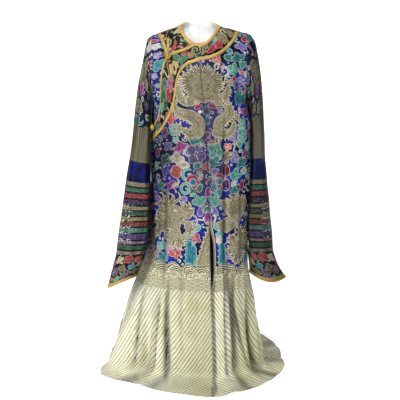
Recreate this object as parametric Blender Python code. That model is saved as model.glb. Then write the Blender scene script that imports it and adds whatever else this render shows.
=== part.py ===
# Dragon robe: a long side-fastening robe with horse-hoof cuffs, worn shape, hollow.
# Metres, +Z up. The robe faces -Y; +X is the wearer's left. The origin is the middle
# of the neck opening at the height where the shoulder line meets the neck.
# "drop" is the depth below the shoulder line and "run" is the distance along the cloth
# from the shoulder line; "share" is the place across a half width, 0 at the centre seam.
import bmesh
import bpy
import math
import numpy as np

# ------------------------------------------------------------------ named sizes
FLOOR = 1.275            # shoulder line to the surface that the hem lies on
WALL = 0.0020            # cloth
TRIM = 0.0014            # facings and bindings
SEAM = 0.0005            # gap between sewn pieces
HALF = 0.1726            # centre to armhole
ROLL = 0.14              # radius of the cloth over the shoulder
ARM_DROP = 0.27          # shoulder to underarm
ARM_DEEP = 0.063         # half depth of the armhole
NECK_HALF = 0.066        # half width of the neck hole
NECK_FRONT = 0.1395      # run of the neckline at the centre front
NECK_BACK = 0.078        # run of the neckline at the centre back
NECK_RISE = 0.037        # how much higher the back of the neck stands
BIND = 0.0150            # width of the gold bindings
LAP = 0.0060             # the underlap lies this far inside the overlap
VENT_RUN = 0.795         # run at which the centre seam opens
LAP_END = 0.800          # run at which the short underlap ends
BEND = 0.013             # softness of the bend where the skirt meets the floor
BUTTON_R = 0.0085

# half widths, depths and the drift of the centre seam, a row for each section
SECTIONS = [
    # drop  wide_right wide_left front  back   seam_x      (wearer's right is -X)
    (0.000, 0.1726, 0.1726, 0.112, 0.090, 0.000),
    (0.140, 0.1726, 0.1726, 0.118, 0.097, 0.004),
    (0.270, 0.1726, 0.1726, 0.130, 0.102, 0.016),
    (0.300, 0.1745, 0.1800, 0.132, 0.102, 0.019),
    (0.345, 0.1785, 0.1895, 0.135, 0.102, 0.024),
    (0.440, 0.1805, 0.1925, 0.139, 0.102, 0.029),
    (0.560, 0.1820, 0.1858, 0.144, 0.106, 0.033),
    (0.630, 0.1826, 0.1818, 0.147, 0.110, 0.035),
    (0.700, 0.1855, 0.1795, 0.150, 0.116, 0.038),
    (0.790, 0.1950, 0.1785, 0.155, 0.126, 0.040),
    (0.870, 0.2120, 0.1800, 0.160, 0.138, 0.042),
    (0.930, 0.2355, 0.1870, 0.163, 0.148, 0.044),
    (1.000, 0.2620, 0.1985, 0.167, 0.160, 0.046),
    (1.080, 0.2840, 0.2115, 0.173, 0.174, 0.049),
    (1.160, 0.3080, 0.2225, 0.180, 0.189, 0.051),
    (1.275, 0.3250, 0.2390, 0.190, 0.208, 0.053),
]
# where the skirt is spread to a corner: direction, half width and reach at the floor
SPREADS = [
    # way   half_way reach  drop_from
    (-63, 16.0, 0.080, 0.93),
]
# how far the hem lies out over the floor, by direction (0 is the front, + the wearer's left)
HEM_LIES = [
    # way   out
    (-180, 0.125), (-150, 0.120), (-120, 0.075), (-95, 0.026), (-80, 0.018),
    (-65, 0.030), (-57, 0.068), (-50, 0.086), (-35, 0.116), (-15, 0.152), (0, 0.162),
    (15, 0.129), (35, 0.103), (55, 0.085), (75, 0.090), (90, 0.088),
    (110, 0.107), (135, 0.145), (160, 0.140), (180, 0.125),
]
# main folds: place across (way in degrees) at the top and at the hem, run where it
# starts and where it is full, half width in degrees, depth (minus is a trough)
FOLDS = [
    # way_top way_hem run_from run_full half_way depth   name
    (-50, -43, 0.90, 1.30, 5.0, -0.020),   # front right panel, outer groove
    (-36, -29, 0.95, 1.32, 4.0, -0.015),   # front right panel, inner groove
    (-66, -58, 0.80, 1.30, 7.0, 0.014),    # front right panel, corner ridge
    (-42, -36, 0.95, 1.30, 4.0, 0.010),
    (-12, -14, 0.90, 1.30, 8.0, 0.008),
    (13, 10, 1.00, 1.12, 4.5, 0.014),      # pale pleat beside the vent
    (23, 21, 0.82, 1.05, 4.0, -0.022),     # dark trough beside it
    (33, 52, 1.02, 1.26, 5.0, -0.026),     # slanting groove, front left panel
    (33, 36, 0.90, 1.20, 5.0, 0.010),
    (62, 70, 0.95, 1.30, 7.0, 0.014),
    (82, 84, 0.95, 1.30, 5.0, -0.014),
    (100, 102, 0.70, 1.25, 8.0, 0.014),    # wearer's left side, round to the back
    (118, 121, 0.65, 1.25, 6.0, -0.018),
    (136, 138, 0.80, 1.30, 7.0, 0.016),
    (153, 155, 0.60, 1.20, 6.0, -0.018),
    (168, 168, 0.75, 1.25, 5.0, 0.012),
    (-168, -166, 0.65, 1.25, 6.0, 0.013),
    (-152, -149, 0.60, 1.20, 6.0, -0.020),
    (-134, -131, 0.80, 1.30, 7.0, 0.015),
    (-117, -113, 0.65, 1.25, 6.0, -0.016),
    (-98, -95, 0.80, 1.30, 6.0, 0.010),
    (-82, -80, 0.90, 1.30, 5.0, -0.012),
]
# the edge of the overlap, from the centre front round the neck and down to the side
LAPEL = [
    # x       run
    (0.0000, 0.1395), (-0.0180, 0.1400), (-0.0400, 0.1530), (-0.0700, 0.1640),
    (-0.1000, 0.1710), (-0.1190, 0.1830), (-0.1330, 0.2200), (-0.1405, 0.2700),
    (-0.1455, 0.3200), (-0.1490, 0.3650), (-0.1570, 0.4080), (-0.1665, 0.4370),
    (-0.1726, 0.4560),
]
# the outer edge of the facing on the overlap, station by station with LAPEL
LAPEL_FACING = [
    # x       run
    (0.0000, 0.2050), (-0.0220, 0.2120), (-0.0440, 0.2200), (-0.0600, 0.2330),
    (-0.0720, 0.2500), (-0.0810, 0.2720), (-0.0880, 0.3000), (-0.0940, 0.3300),
    (-0.1020, 0.3600), (-0.1130, 0.3880), (-0.1280, 0.4210), (-0.1480, 0.4580),
    (-0.1726, 0.5050),
]
# outer edge of the facing round the neck: turn about the neck, x and run (minus at the back)
NECK_FACING = [
    # turn   x       run
    (0, 0.0000, 0.2050), (22, 0.0360, 0.1980), (44, 0.0760, 0.1800), (64, 0.1120, 0.1400),
    (80, 0.1400, 0.0700), (90, 0.1500, 0.0000), (104, 0.1420, -0.0650), (124, 0.1120, -0.1200),
    (150, 0.0580, -0.1520), (180, 0.0000, -0.1600), (210, -0.0580, -0.1520),
    (236, -0.1120, -0.1200), (256, -0.1440, -0.0650), (270, -0.1550, 0.0000),
    (279, -0.1500, 0.0370), (288, -0.1420, 0.0850), (297, -0.1310, 0.1320),
    (306, -0.1175, 0.1720), (315, -0.0960, 0.1670), (324, -0.0720, 0.1612),
    (333, -0.0475, 0.1530), (342, -0.0275, 0.1435), (351, -0.0120, 0.1480), (360, 0.0000, 0.1520),
]
# sleeves: outer and inner point of each ring, its middle's y and half depth
SLEEVE_RIGHT = [
    # out_x  out_z   in_x    in_z    mid_y   deep
    (0.1900, -0.0430, 0.1738, -0.2745, 0.000, 0.0640),
    (0.1985, -0.0830, 0.1755, -0.2800, 0.000, 0.0645),
    (0.2085, -0.1340, 0.1775, -0.2870, 0.000, 0.0640),
    (0.2205, -0.1880, 0.1790, -0.2970, 0.000, 0.0630),
    (0.2315, -0.2450, 0.1810, -0.3130, 0.000, 0.0620),
    (0.2400, -0.3100, 0.1830, -0.3400, -0.002, 0.0610),
    (0.2465, -0.3700, 0.1845, -0.3840, -0.006, 0.0600),
    (0.2540, -0.4250, 0.1845, -0.4320, -0.010, 0.0590),
    (0.2620, -0.4820, 0.1832, -0.4960, -0.016, 0.0580),
    (0.2735, -0.5580, 0.1837, -0.5680, -0.026, 0.0570),
    (0.2845, -0.6350, 0.1845, -0.6380, -0.038, 0.0555),
    (0.2945, -0.7080, 0.1875, -0.7080, -0.052, 0.0530),
    (0.3025, -0.7780, 0.1910, -0.7770, -0.067, 0.0500),
    (0.3085, -0.8260, 0.1975, -0.8240, -0.080, 0.0470),
    (0.3190, -0.8640, 0.2050, -0.8500, -0.087, 0.0480),
    (0.3310, -0.9110, 0.2190, -0.8820, -0.092, 0.0470),
    (0.3430, -0.9600, 0.2320, -0.9130, -0.096, 0.0450),
]
SLEEVE_LEFT = [
    # out_x  out_z   in_x    in_z    mid_y   deep
    (0.1900, -0.0275, 0.1740, -0.2745, 0.000, 0.0640),
    (0.2055, -0.0540, 0.1765, -0.2805, 0.000, 0.0650),
    (0.2145, -0.0960, 0.1800, -0.2885, 0.000, 0.0650),
    (0.2240, -0.1450, 0.1845, -0.3000, 0.000, 0.0645),
    (0.2320, -0.2020, 0.1895, -0.3170, 0.000, 0.0640),
    (0.2385, -0.2700, 0.1915, -0.3330, 0.000, 0.0635),
    (0.2425, -0.3420, 0.1943, -0.3540, -0.003, 0.0630),
    (0.2455, -0.4000, 0.1957, -0.4040, -0.008, 0.0620),
    (0.2485, -0.4740, 0.1946, -0.4760, -0.015, 0.0610),
    (0.2560, -0.5500, 0.1905, -0.5540, -0.025, 0.0600),
    (0.2630, -0.6300, 0.1875, -0.6320, -0.037, 0.0590),
    (0.2695, -0.7080, 0.1845, -0.7080, -0.052, 0.0550),
    (0.2750, -0.7650, 0.1828, -0.7650, -0.064, 0.0510),
    (0.2775, -0.8140, 0.1818, -0.8150, -0.077, 0.0480),
    (0.2870, -0.8480, 0.1830, -0.8380, -0.085, 0.0540),
    (0.3030, -0.8840, 0.1865, -0.8680, -0.090, 0.0590),
    (0.3250, -0.9180, 0.1885, -0.9010, -0.094, 0.0620),
]
# rings shared out between the sewn stretches of a sleeve
UPPER, BAND, LOWER, CUFF = (0, 8), (8, 9), (9, 13), (13, 16)
CUFF_DIP = {"right": -0.009, "left": 0.011}   # how far the front of the cuff reaches lower
FACETS = 8               # facets on each half of a sleeve and of an armhole

# ------------------------------------------------------------------ curves
def smooth(xs, ys):
    """Smooth curve through table values that never overshoots them."""
    xs = np.asarray(xs, float)
    ys = np.asarray(ys, float)
    h = np.diff(xs)
    m = np.diff(ys) / h
    t = np.zeros(len(xs))
    t[0], t[-1] = m[0], m[-1]
    for i in range(1, len(xs) - 1):
        if m[i - 1] * m[i] > 0:
            w1, w2 = 2 * h[i] + h[i - 1], h[i] + 2 * h[i - 1]
            t[i] = (w1 + w2) / (w1 / m[i - 1] + w2 / m[i])

    def f(x):
        x = np.clip(x, xs[0], xs[-1])
        i = np.clip(np.searchsorted(xs, x) - 1, 0, len(h) - 1)
        u = (x - xs[i]) / h[i]
        return ((2 * u**3 - 3 * u**2 + 1) * ys[i] + (u**3 - 2 * u**2 + u) * h[i] * t[i]
                + (3 * u**2 - 2 * u**3) * ys[i + 1] + (u**3 - u**2) * h[i] * t[i + 1])
    return f


def columns(table):
    return [list(c) for c in zip(*table)]


def step(x, a, b):
    u = np.clip((x - a) / (b - a), 0, 1)
    return u * u * (3 - 2 * u)


_drop, _wr, _wl, _fr, _bk, _sx = columns(SECTIONS)
wide_right, wide_left = smooth(_drop, _wr), smooth(_drop, _wl)
front_deep, back_deep, seam_x = smooth(_drop, _fr), smooth(_drop, _bk), smooth(_drop, _sx)
hem_lies = smooth(*columns(HEM_LIES))


def shoulder_fall(x):
    """The shoulder line falls away from the neck to the arm."""
    deep = np.where(np.asarray(x) < 0, 0.032, 0.023)
    return -deep * step(np.abs(x), 0.055, 0.195) ** 1.15


# ------------------------------------------------------------------ the cloth's surface
def spread(way, drop):
    total = np.zeros(np.broadcast(way, drop).shape)
    for at, half_way, reach, drop_from in SPREADS:
        off = (way - at + 180) % 360 - 180
        total += reach * np.clip((drop - drop_from) / (FLOOR - drop_from), 0, 1) ** 1.3 * np.exp(-(off / half_way) ** 2)
    return total


def folds(way, run):
    total = np.zeros(np.broadcast(way, run).shape)
    for way_top, way_hem, run_from, run_full, half_way, depth in FOLDS:
        at = way_top + (way_hem - way_top) * np.clip((run - run_from) / (1.45 - run_from), 0, 1)
        off = (way - at + 180) % 360 - 180
        total += depth * step(run, run_from, run_full) * np.exp(-(off / half_way) ** 2)
    return total


def base(share, run, face):
    """Point on the outer side of the cloth. face is +1 on the front, -1 on the back."""
    share, run = np.broadcast_arrays(np.asarray(share, float), np.asarray(run, float))
    turn = np.minimum(run / ROLL, math.pi / 2)
    drop = ROLL * (1 - np.cos(turn)) + np.maximum(run - ROLL * math.pi / 2, 0)
    past = drop - (FLOOR - WALL)
    rise = BEND * np.logaddexp(0, -past / BEND)
    out = BEND * np.logaddexp(0, past / BEND)
    flat = 1 / (1 + np.exp(-past / BEND))
    drop = (FLOOR - WALL) - rise
    side = np.sign(share)
    across = np.abs(share)
    cosine = np.sqrt(np.clip(1 - across**2, 0, 1))
    way = np.degrees(np.arctan2(share, face * cosine))
    wide = np.where(share < 0, wide_right(drop), wide_left(drop))
    deep = (front_deep(drop) if face > 0 else back_deep(drop)) * np.sin(turn)
    e = ARM_DEEP * np.sqrt(np.clip(1 - (2 * drop / ARM_DROP - 1) ** 2, 0, 1)) * (drop < ARM_DROP)
    level = step(drop, ARM_DROP - 0.07, ARM_DROP + 0.05)
    bow = np.cos(math.pi / 2 * across) * (1 - level) + cosine * level
    x = wide * share
    y = e + (deep - e) * bow
    if face > 0:
        x = x + seam_x(drop) * bow
    z = shoulder_fall(x) * (1 - step(drop, 0, 0.27)) - drop
    if face < 0:
        z = z + NECK_RISE * step(run, 0, 0.07) * (1 - step(run, 0.06, 0.30)) * (1 - step(np.abs(x), 0.03, 0.13))
    bulge = folds(way, run)
    stand = bulge * (1 - flat)
    wider = out + stand + spread(way, drop)
    x = x + share * wider
    y = y + cosine * wider
    z = z + flat * np.maximum(bulge, 0) * 0.55
    return np.stack([x, -face * y, z], -1)


def cloth(share, run, face, lift=0.0):
    """Point moved out from the cloth by lift, along the cloth's normal."""
    share, run = np.broadcast_arrays(np.asarray(share, float), np.asarray(run, float))
    p = base(share, run, face)
    a, b = 0.004, 0.002
    sa, sb = np.clip(share - a, -0.9995, 0.9995), np.clip(share + a, -0.9995, 0.9995)
    ra, rb = np.maximum(run - b, 0), run + b
    du = base(sb, run, face) - base(sa, run, face)
    dv = base(share, rb, face) - base(share, ra, face)
    n = np.cross(dv, du) * face
    n /= np.maximum(np.linalg.norm(n, axis=-1, keepdims=True), 1e-12)
    return p + n * np.asarray(lift)[..., None]


def outline(x, run, lift):
    """A point given by x and signed run (minus is the back), for trims near the neck."""
    x, run = np.broadcast_arrays(np.asarray(x, float), np.asarray(run, float))
    lift = np.broadcast_to(lift, x.shape)
    f = cloth(x / HALF, np.abs(run), 1, lift)
    b = cloth(x / HALF, np.abs(run), -1, lift)
    return np.where((run >= 0)[..., None], f, b)


def inset(share, run):
    """The wearer's right front lies inside the overlap, but meets the sleeve at the armhole."""
    at_arm = step(run, 0.0, 0.11) * step(1 - np.abs(share), 0.0, 0.22)
    return -LAP * np.maximum(at_arm, step(run, 0.352, 0.420))


def hem_run(share, face):
    cosine = np.sqrt(np.clip(1 - np.asarray(share) ** 2, 0, 1))
    way = np.degrees(np.arctan2(share, face * cosine))
    return FLOOR - WALL - ROLL + ROLL * math.pi / 2 + hem_lies(way)


# ------------------------------------------------------------------ rows and columns of a panel
def ring_shape(k, turn):
    """Across and out of the middle of a sleeve ring, from -1 to 1. Below the underarm the side
    against the body is flat, and the cuff is folded to an edge at its outer and inner side."""
    c, s = np.cos(turn), np.sin(turn)
    flat = step(k, 3.5, 5.5) * (1 - step(k, 11.3, 13.2))
    c = c + (c < 0) * flat * (-(1 - (1 - np.abs(c)) ** 3) - c)
    return c, s * np.abs(s) ** (0.8 * step(k, 13.0, 15.6))


def armhole_runs(n):
    """Runs of the rows that meet the sleeve's facets."""
    d = ARM_DROP / 2 * (1 - np.cos(np.linspace(0, math.pi, n + 1)))
    return np.where(d < ROLL, ROLL * np.arccos(np.clip(1 - d / ROLL, -1, 1)),
                    d - ROLL + ROLL * math.pi / 2)


ROWS_BELOW = [0.43, 0.53, 0.64, 0.74, 0.84, 0.93, 1.01, 1.08, 1.15, 1.21, 1.27, 1.315, 1.345, 1.38]


STATIONS = 10            # stations round each quarter of the neck
EDGE = 0.0120            # width of the binding at a facing's outer edge


def neck_line(turn_deg, out=0.0):
    """The neckline as (x, signed run), moved out by a distance over the cloth."""
    t = np.radians(np.asarray(turn_deg, float))
    deep = np.where(np.cos(t) >= 0, NECK_FRONT, NECK_BACK)
    return np.stack([(NECK_HALF + out) * np.sin(t), (deep + out) * np.cos(t)], -1)


def strips(near, far, bind):
    """Lines across a facing: its edge, binding, middle, outer binding and outer edge."""
    d = far - near
    length = np.linalg.norm(d, axis=1)
    u = d / length[:, None]
    first = np.minimum(bind, 0.85 * length)
    last = np.minimum(EDGE, 0.4 * (length - first))
    marks = [0 * length, first, (first + length - last) / 2, length - last, length]
    return np.array([near + u * m[:, None] for m in marks])


def facing_far(turns):
    t, x, r = columns(NECK_FACING)
    return np.stack([smooth(t, x)(turns), smooth(t, r)(turns)], -1)


def yoke_lines(first, last):
    """The facing's lines at the stations round the neck, from one turn to another."""
    turns = np.arange(first, last + 0.1, 90 / STATIONS)
    near = neck_line(turns)
    near[np.abs(near) < 1e-9] = 0.0
    far = facing_far(turns)
    return turns, strips(near, far, BIND)


def skirt_lines(tops, feet, rows, face, end=None, meet=0.42):
    """Lines down from the given tops to the hem, as share and run."""
    share = np.empty((len(rows) + 1, len(tops)))
    run = np.empty_like(share)
    for i, ((x, r0), foot) in enumerate(zip(tops, feet)):
        r0 = abs(r0)
        col = np.where(rows < 0.5, r0 + rows * (1 - r0 / 0.5), rows)
        run[:, i] = np.append(col, hem_run(foot, face) if end is None else end)
        k = step(run[:, i], r0, max(meet, r0 + 0.12))
        share[:, i] = x / HALF * (1 - k) + foot * k
    return share, run


# ------------------------------------------------------------------ meshes and objects
COLOURS = {
    # slot: colour, roughness, metallic
    "brocade": ((0.050, 0.075, 0.30), 0.45, 0.0),
    "striped_silk": ((0.30, 0.10, 0.20), 0.5, 0.0),
    "blue_silk": ((0.03, 0.06, 0.30), 0.5, 0.0),
    "facing_silk": ((0.03, 0.03, 0.05), 0.5, 0.0),
    "gold_braid": ((0.45, 0.30, 0.10), 0.45, 0.3),
    "gilt": ((0.75, 0.55, 0.22), 0.3, 1.0),
}


def material(slot):
    m = bpy.data.materials.get(slot)
    if m is None:
        m = bpy.data.materials.new(slot)
        m.use_nodes = True
        b = m.node_tree.nodes["Principled BSDF"]
        colour, rough, metal = COLOURS[slot]
        b.inputs["Base Color"].default_value = (*colour, 1)
        b.inputs["Roughness"].default_value = rough
        b.inputs["Metallic"].default_value = metal
    return m


def make(name, verts, faces, slot):
    me = bpy.data.meshes.new(name)
    me.from_pydata([tuple(float(c) for c in v) for v in verts], [], faces)
    me.validate()
    me.shade_smooth()
    me.materials.append(material(slot))
    ob = bpy.data.objects.new(name, me)
    bpy.context.scene.collection.objects.link(ob)
    return ob


def shell(name, parts, slot):
    """Grids of outer and inner points as one walled sheet, welded where they meet."""
    outer, inner, faces, seen = [], [], [], {}
    for top, under, flip in parts:
        rows, cols = top.shape[:2]
        idx = np.empty((rows, cols), int)
        for r in range(rows):
            for c in range(cols):
                key = tuple(np.round(top[r, c], 6))
                if key not in seen:
                    seen[key] = len(outer)
                    outer.append(top[r, c])
                    inner.append(under[r, c])
                idx[r, c] = seen[key]
        for r in range(rows - 1):
            for c in range(cols - 1):
                q = [idx[r, c], idx[r + 1, c], idx[r + 1, c + 1], idx[r, c + 1]]
                if flip:
                    q.reverse()
                # every grid is split along the same diagonal, so trims follow their panel
                a, b, d, e = (int(v) for v in (q if not flip else (q[3], q[2], q[1], q[0])))
                for t in ((a, b, d), (a, d, e)):
                    if len(set(t)) == 3:
                        faces.append(t if not flip else t[::-1])
    n = len(outer)
    used = {}
    for f in faces:
        for a, b in zip(f, f[1:] + f[:1]):
            used[(a, b)] = True
    rim = [(b, a, n + a, n + b) for a, b in used if (b, a) not in used]
    walls = [tuple(n + v for v in reversed(f)) for f in faces]
    return make(name, outer + inner, faces + walls + rim, slot)


def slab(name, top, bottom, slot, closed=False):
    """A closed strip between a grid of points and the same grid nearer the cloth."""
    rows, cols = top.shape[:2]
    verts = np.concatenate([top.reshape(-1, 3), bottom.reshape(-1, 3)])
    n = rows * cols
    faces = []
    last = rows if closed else rows - 1
    for r in range(last):
        r2 = (r + 1) % rows
        for c in range(cols - 1):
            a, b, d, e = r * cols + c, r * cols + c + 1, r2 * cols + c + 1, r2 * cols + c
            faces += [(a, b, d, e), (n + e, n + d, n + b, n + a)]
        a, e = r * cols, r2 * cols
        faces.append((a, e, n + e, n + a))
        a, e = r * cols + cols - 1, r2 * cols + cols - 1
        faces.append((e, a, n + a, n + e))
    if not closed:
        for r, turn in ((0, False), (rows - 1, True)):
            for c in range(cols - 1):
                q = (r * cols + c + 1, r * cols + c, n + r * cols + c, n + r * cols + c + 1)
                faces.append(q[::-1] if turn else q)
    me = np.array(verts)
    ob = make(name, me, faces, slot)
    outward(ob)
    return ob


def outward(ob):
    bm = bmesh.new()
    bm.from_mesh(ob.data)
    bmesh.ops.recalc_face_normals(bm, faces=bm.faces)
    if bm.calc_volume(signed=True) < 0:
        bmesh.ops.reverse_faces(bm, faces=bm.faces)
    bm.to_mesh(ob.data)
    bm.free()


def band(name, inner, outer, slot, lift, across=2, closed=False, thick=TRIM):
    """A flat trim between two lines on the cloth, each a list of (x, signed run)."""
    inner, outer = np.array(inner), np.array(outer)
    lift = np.broadcast_to(lift, (len(inner),))[:, None]
    w = np.linspace(0, 1, across + 1)[None, :]
    x = inner[:, :1] * (1 - w) + outer[:, :1] * w
    run = inner[:, 1:] * (1 - w) + outer[:, 1:] * w
    return slab(name, outline(x, run, lift + thick), outline(x, run, lift + 0 * w), slot, closed)


def resample(points, n, first=0.0, last=1.0):
    """n + 1 evenly spaced points along a smooth line through the given ones."""
    p = np.array(points, float)
    t = np.concatenate([[0], np.cumsum(np.hypot(*np.diff(p, axis=0).T))])
    t /= t[-1]
    at = np.linspace(first, last, n + 1)
    return np.stack([smooth(t, p[:, 0])(at), smooth(t, p[:, 1])(at)], -1)


def shift_line(line, by):
    """The same line moved sideways on the cloth, + to the left of its direction."""
    d = np.gradient(line, axis=0)
    d /= np.linalg.norm(d, axis=1, keepdims=True)
    return line + by * np.stack([-d[:, 1], d[:, 0]], -1)


# ------------------------------------------------------------------ start
for old in list(bpy.data.objects):
    bpy.data.objects.remove(old, do_unlink=True)

# ------------------------------------------------------------------ body
def half_body(name, side):
    """Front and back of one side. They meet over the shoulder and down the side."""
    feet = np.append(np.sin(np.linspace(0, math.pi / 2, STATIONS + 2))[:-1], 1.0) * side
    rows = np.concatenate([armhole_runs(FACETS), ROWS_BELOW])
    for face, word in ((1, "front"), (-1, "back")):
        first = {(1, 1): 0, (1, -1): 90, (-1, 1): 270, (-1, -1): 180}[side, face]
        turns, lines = yoke_lines(first, first + 90)
        flip = (face > 0) != (side > 0)
        outward_way = (side > 0) == (face > 0)    # stations run from the centre to the shoulder
        sunk = face > 0 and side < 0
        parts = []

        def add(share, run, flip):
            lift = inset(share, run) if sunk else np.zeros(share.shape)
            sheets = []
            for wall in (0.0, WALL):
                pts = cloth(share, run, face, lift - wall)
                # half the seam gap at the centre, at the sides and along the shoulder
                pts[..., 0] += np.where(np.abs(share) < 1e-6, side * SEAM / 2, 0)
                pts[..., 1] -= np.where((run > 0.345) & (np.abs(share) > 0.9999), face * SEAM, 0)
                pts[..., 1] -= np.where(run < 1e-6, face * SEAM / 2, 0)
                if face > 0 and side > 0:
                    pts = open_vent(pts, share, run, side)
                sheets.append(pts)
            parts.append((*sheets, flip))

        add(lines[..., 0] / HALF, np.abs(lines[..., 1]), flip == outward_way)
        if not outward_way:
            lines = lines[:, ::-1]
        tops = list(lines[-1]) + [(HALF * side, 0.0)]
        if sunk:
            # the short underlap ends above the vent
            add(*skirt_lines(tops, feet, rows[rows < LAP_END - 0.03], face, LAP_END), flip)
        else:
            add(*skirt_lines(tops, feet, rows, face), flip)
        shell("%s_%s" % (name, word), parts, "brocade")


def vent_gap(run):
    """Width of the gap at the vent: it gapes just below the seam and closes lower down."""
    return 0.016 * step(run, VENT_RUN, 0.90) * (1 - step(run, 0.95, 1.08)) + 0.0012 * step(run, VENT_RUN, 0.85)


def open_vent(pts, share, run, side):
    pull = vent_gap(run) * np.clip(1 - np.abs(share) / 0.35, 0, 1) ** 1.5
    pts = pts.copy()
    pts[..., 0] += side * pull
    return pts


half_body("body_left", 1)
half_body("body_right", -1)

# the overlap runs from the centre seam to the wearer's right side, under the lapel's edge
LAPEL_STATIONS = 12


def around_side(table):
    """Stations spaced evenly over the cloth, which turns away towards the side."""
    bend = [(0.15 * math.asin(x / HALF), run) for x, run in table]
    line = resample(bend, LAPEL_STATIONS)
    line[:, 0] = HALF * np.sin(line[:, 0] / 0.15)
    line[0, 0] = 0.0
    return line


lapel_near = around_side(LAPEL)
lapel_far = around_side(LAPEL_FACING)
lapel_lines = strips(lapel_near, lapel_far, BIND * 0.75)
feet = -np.sin(np.linspace(0, math.pi / 2, LAPEL_STATIONS + 1))
feet[-1] = -1.0
low_rows = np.array([0.0, 0.06, 0.14, 0.25, 0.38] + [v for v in ROWS_BELOW if v > 0.5])


def on_overlap(share, run, lift):
    pts = cloth(share, run, 1, lift)
    pts[..., 0] -= np.where(np.abs(share) < 1e-6, SEAM / 2, 0)
    pts[..., 1] -= np.where(np.abs(share) > 0.985, SEAM * 1.5, 0)
    return pts


parts = []
foot_share, foot_run = skirt_lines(list(lapel_lines[-1]), feet, low_rows, 1, meet=0.60)
for share, run in ((lapel_lines[..., 0] / HALF, lapel_lines[..., 1]), (foot_share, foot_run)):
    parts.append((on_overlap(share, run, 0.0), on_overlap(share, run, -WALL), True))
shell("front_overlap", parts, "brocade")

# ------------------------------------------------------------------ sleeves
def ring_points(table, k, side, inside=0.0):
    """Ring k of a sleeve; ring -1 is the armhole itself."""
    turn = np.linspace(0, 2 * math.pi, 2 * FACETS + 1)[:-1]
    if k < 0:
        d = ARM_DROP / 2 * (1 - np.cos(turn))
        run_of = np.where(d < ROLL, ROLL * np.arccos(np.clip(1 - d / ROLL, -1, 1)),
                          d - ROLL + ROLL * math.pi / 2)
        front = base(np.full(len(turn), side * 1.0), run_of, 1)
        back = base(np.full(len(turn), side * 1.0), run_of, -1)
        p = np.where((turn <= math.pi)[:, None], front, back)
        p[:, 0] = side * (HALF + SEAM + 0.0001)
        mid = (p[0] + p[FACETS]) / 2
        if inside:
            spoke = p - mid
            p = mid + spoke * (1 - inside / np.linalg.norm(spoke, axis=1, keepdims=True))
        return p
    ox, oz, ix, iz, my, deep = table[k]
    o, i = np.array([side * ox, 0, oz]), np.array([side * ix, 0, iz])
    mid, arm = (o + i) / 2, (o - i) / 2
    length = np.linalg.norm(arm)
    arm = arm / length * (length - inside)
    c, s = ring_shape(k, turn)
    p = mid + c[:, None] * arm
    p[:, 1] += my - (deep - inside) * s
    return p


def stretch(table, first, last, side, lead=0.0, tail=0.0, dip=0.0):
    """Outer and inner rings of one sewn stretch, with the seam gap at each end."""
    outer, inner = [], []
    for k in range(first, last + 1):
        o, i = ring_points(table, k, side), ring_points(table, k, side, WALL)
        if dip:
            share_down = (k - first) / (last - first)
            turn = np.linspace(0, 2 * math.pi, 2 * FACETS + 1)[:-1]
            drop = dip * share_down**1.5 * np.clip(np.sin(turn), 0, 1) ** 2.5
            o[:, 2] -= drop
            i[:, 2] -= drop
        outer.append(o)
        inner.append(i)
    outer, inner = np.array(outer), np.array(inner)
    if tail:
        d = outer[-1] - outer[-2]
        s = d / np.linalg.norm(d, axis=1, keepdims=True) * tail
        outer[-1] -= s
        inner[-1] -= s
    return outer, inner


def tube(name, outer, inner, slot):
    rings, n = outer.shape[:2]
    verts = np.concatenate([outer.reshape(-1, 3), inner.reshape(-1, 3)])
    half = rings * n
    faces = []
    for r in range(rings - 1):
        for c in range(n):
            d = (c + 1) % n
            a, b, e, f = r * n + c, r * n + d, (r + 1) * n + d, (r + 1) * n + c
            faces += [(a, b, e, f), (half + f, half + e, half + b, half + a)]
    for r, turn in ((0, False), (rings - 1, True)):
        for c in range(n):
            d = (c + 1) % n
            q = (r * n + d, r * n + c, half + r * n + c, half + r * n + d)
            faces.append(q[::-1] if turn else q)
    ob = make(name, verts, faces, slot)
    outward(ob)
    return ob


for word, side, table in (("right", -1, SLEEVE_RIGHT), ("left", 1, SLEEVE_LEFT)):
    first, last = UPPER
    o, i = stretch(table, first - 1, last, side, tail=SEAM)
    tube("sleeve_%s_upper" % word, o, i, "brocade")
    o, i = stretch(table, *BAND, side, tail=SEAM)
    tube("sleeve_%s_band" % word, o, i, "blue_silk")
    o, i = stretch(table, *LOWER, side, tail=SEAM)
    tube("sleeve_%s_lower" % word, o, i, "striped_silk")
    o, i = stretch(table, *CUFF, side, dip=CUFF_DIP[word])
    # the gold binding takes the last stretch of the cuff
    share_bound = 0.62
    bo = [o[-2] + (o[-1] - o[-2]) * share_bound, o[-1].copy()]
    bi = [i[-2] + (i[-1] - i[-2]) * share_bound, i[-1].copy()]
    down = (o[-1] - o[-2]) / np.linalg.norm(o[-1] - o[-2], axis=1, keepdims=True) * SEAM
    o[-1], i[-1] = bo[0] - down, bi[0] - down
    tube("cuff_%s" % word, o, i, "facing_silk")
    tube("cuff_%s_binding" % word, np.array(bo), np.array(bi), "gold_braid")

# ------------------------------------------------------------------ trims round the neck
GAP = 0.0006             # between a trim and the panel under it


def trim(name, lines, at, slot, thick, first, last, parts=None):
    """A trim made from its panel's own points between two of the facing's lines, moved out."""
    low, high = at(lines, GAP), at(lines, GAP + thick)
    out = []
    for r0, r1, c0, c1 in parts or [(first, last, 0, lines.shape[1] - 1)]:
        sheets = []
        for p in (high, low):
            g = p[r0:r1 + 1, c0:c1 + 1].copy()
            if r0 == first:
                g[0] = toward(p[r0, c0:c1 + 1], p[r0 + 1, c0:c1 + 1], SEAM / 2 if first else 0)
            g[-1] = toward(p[r1, c0:c1 + 1], p[r1 - 1, c0:c1 + 1], SEAM / 2)
            sheets.append(g)
        out.append((*sheets, False))
    ob = shell(name, out, slot)
    outward(ob)
    return ob


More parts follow.
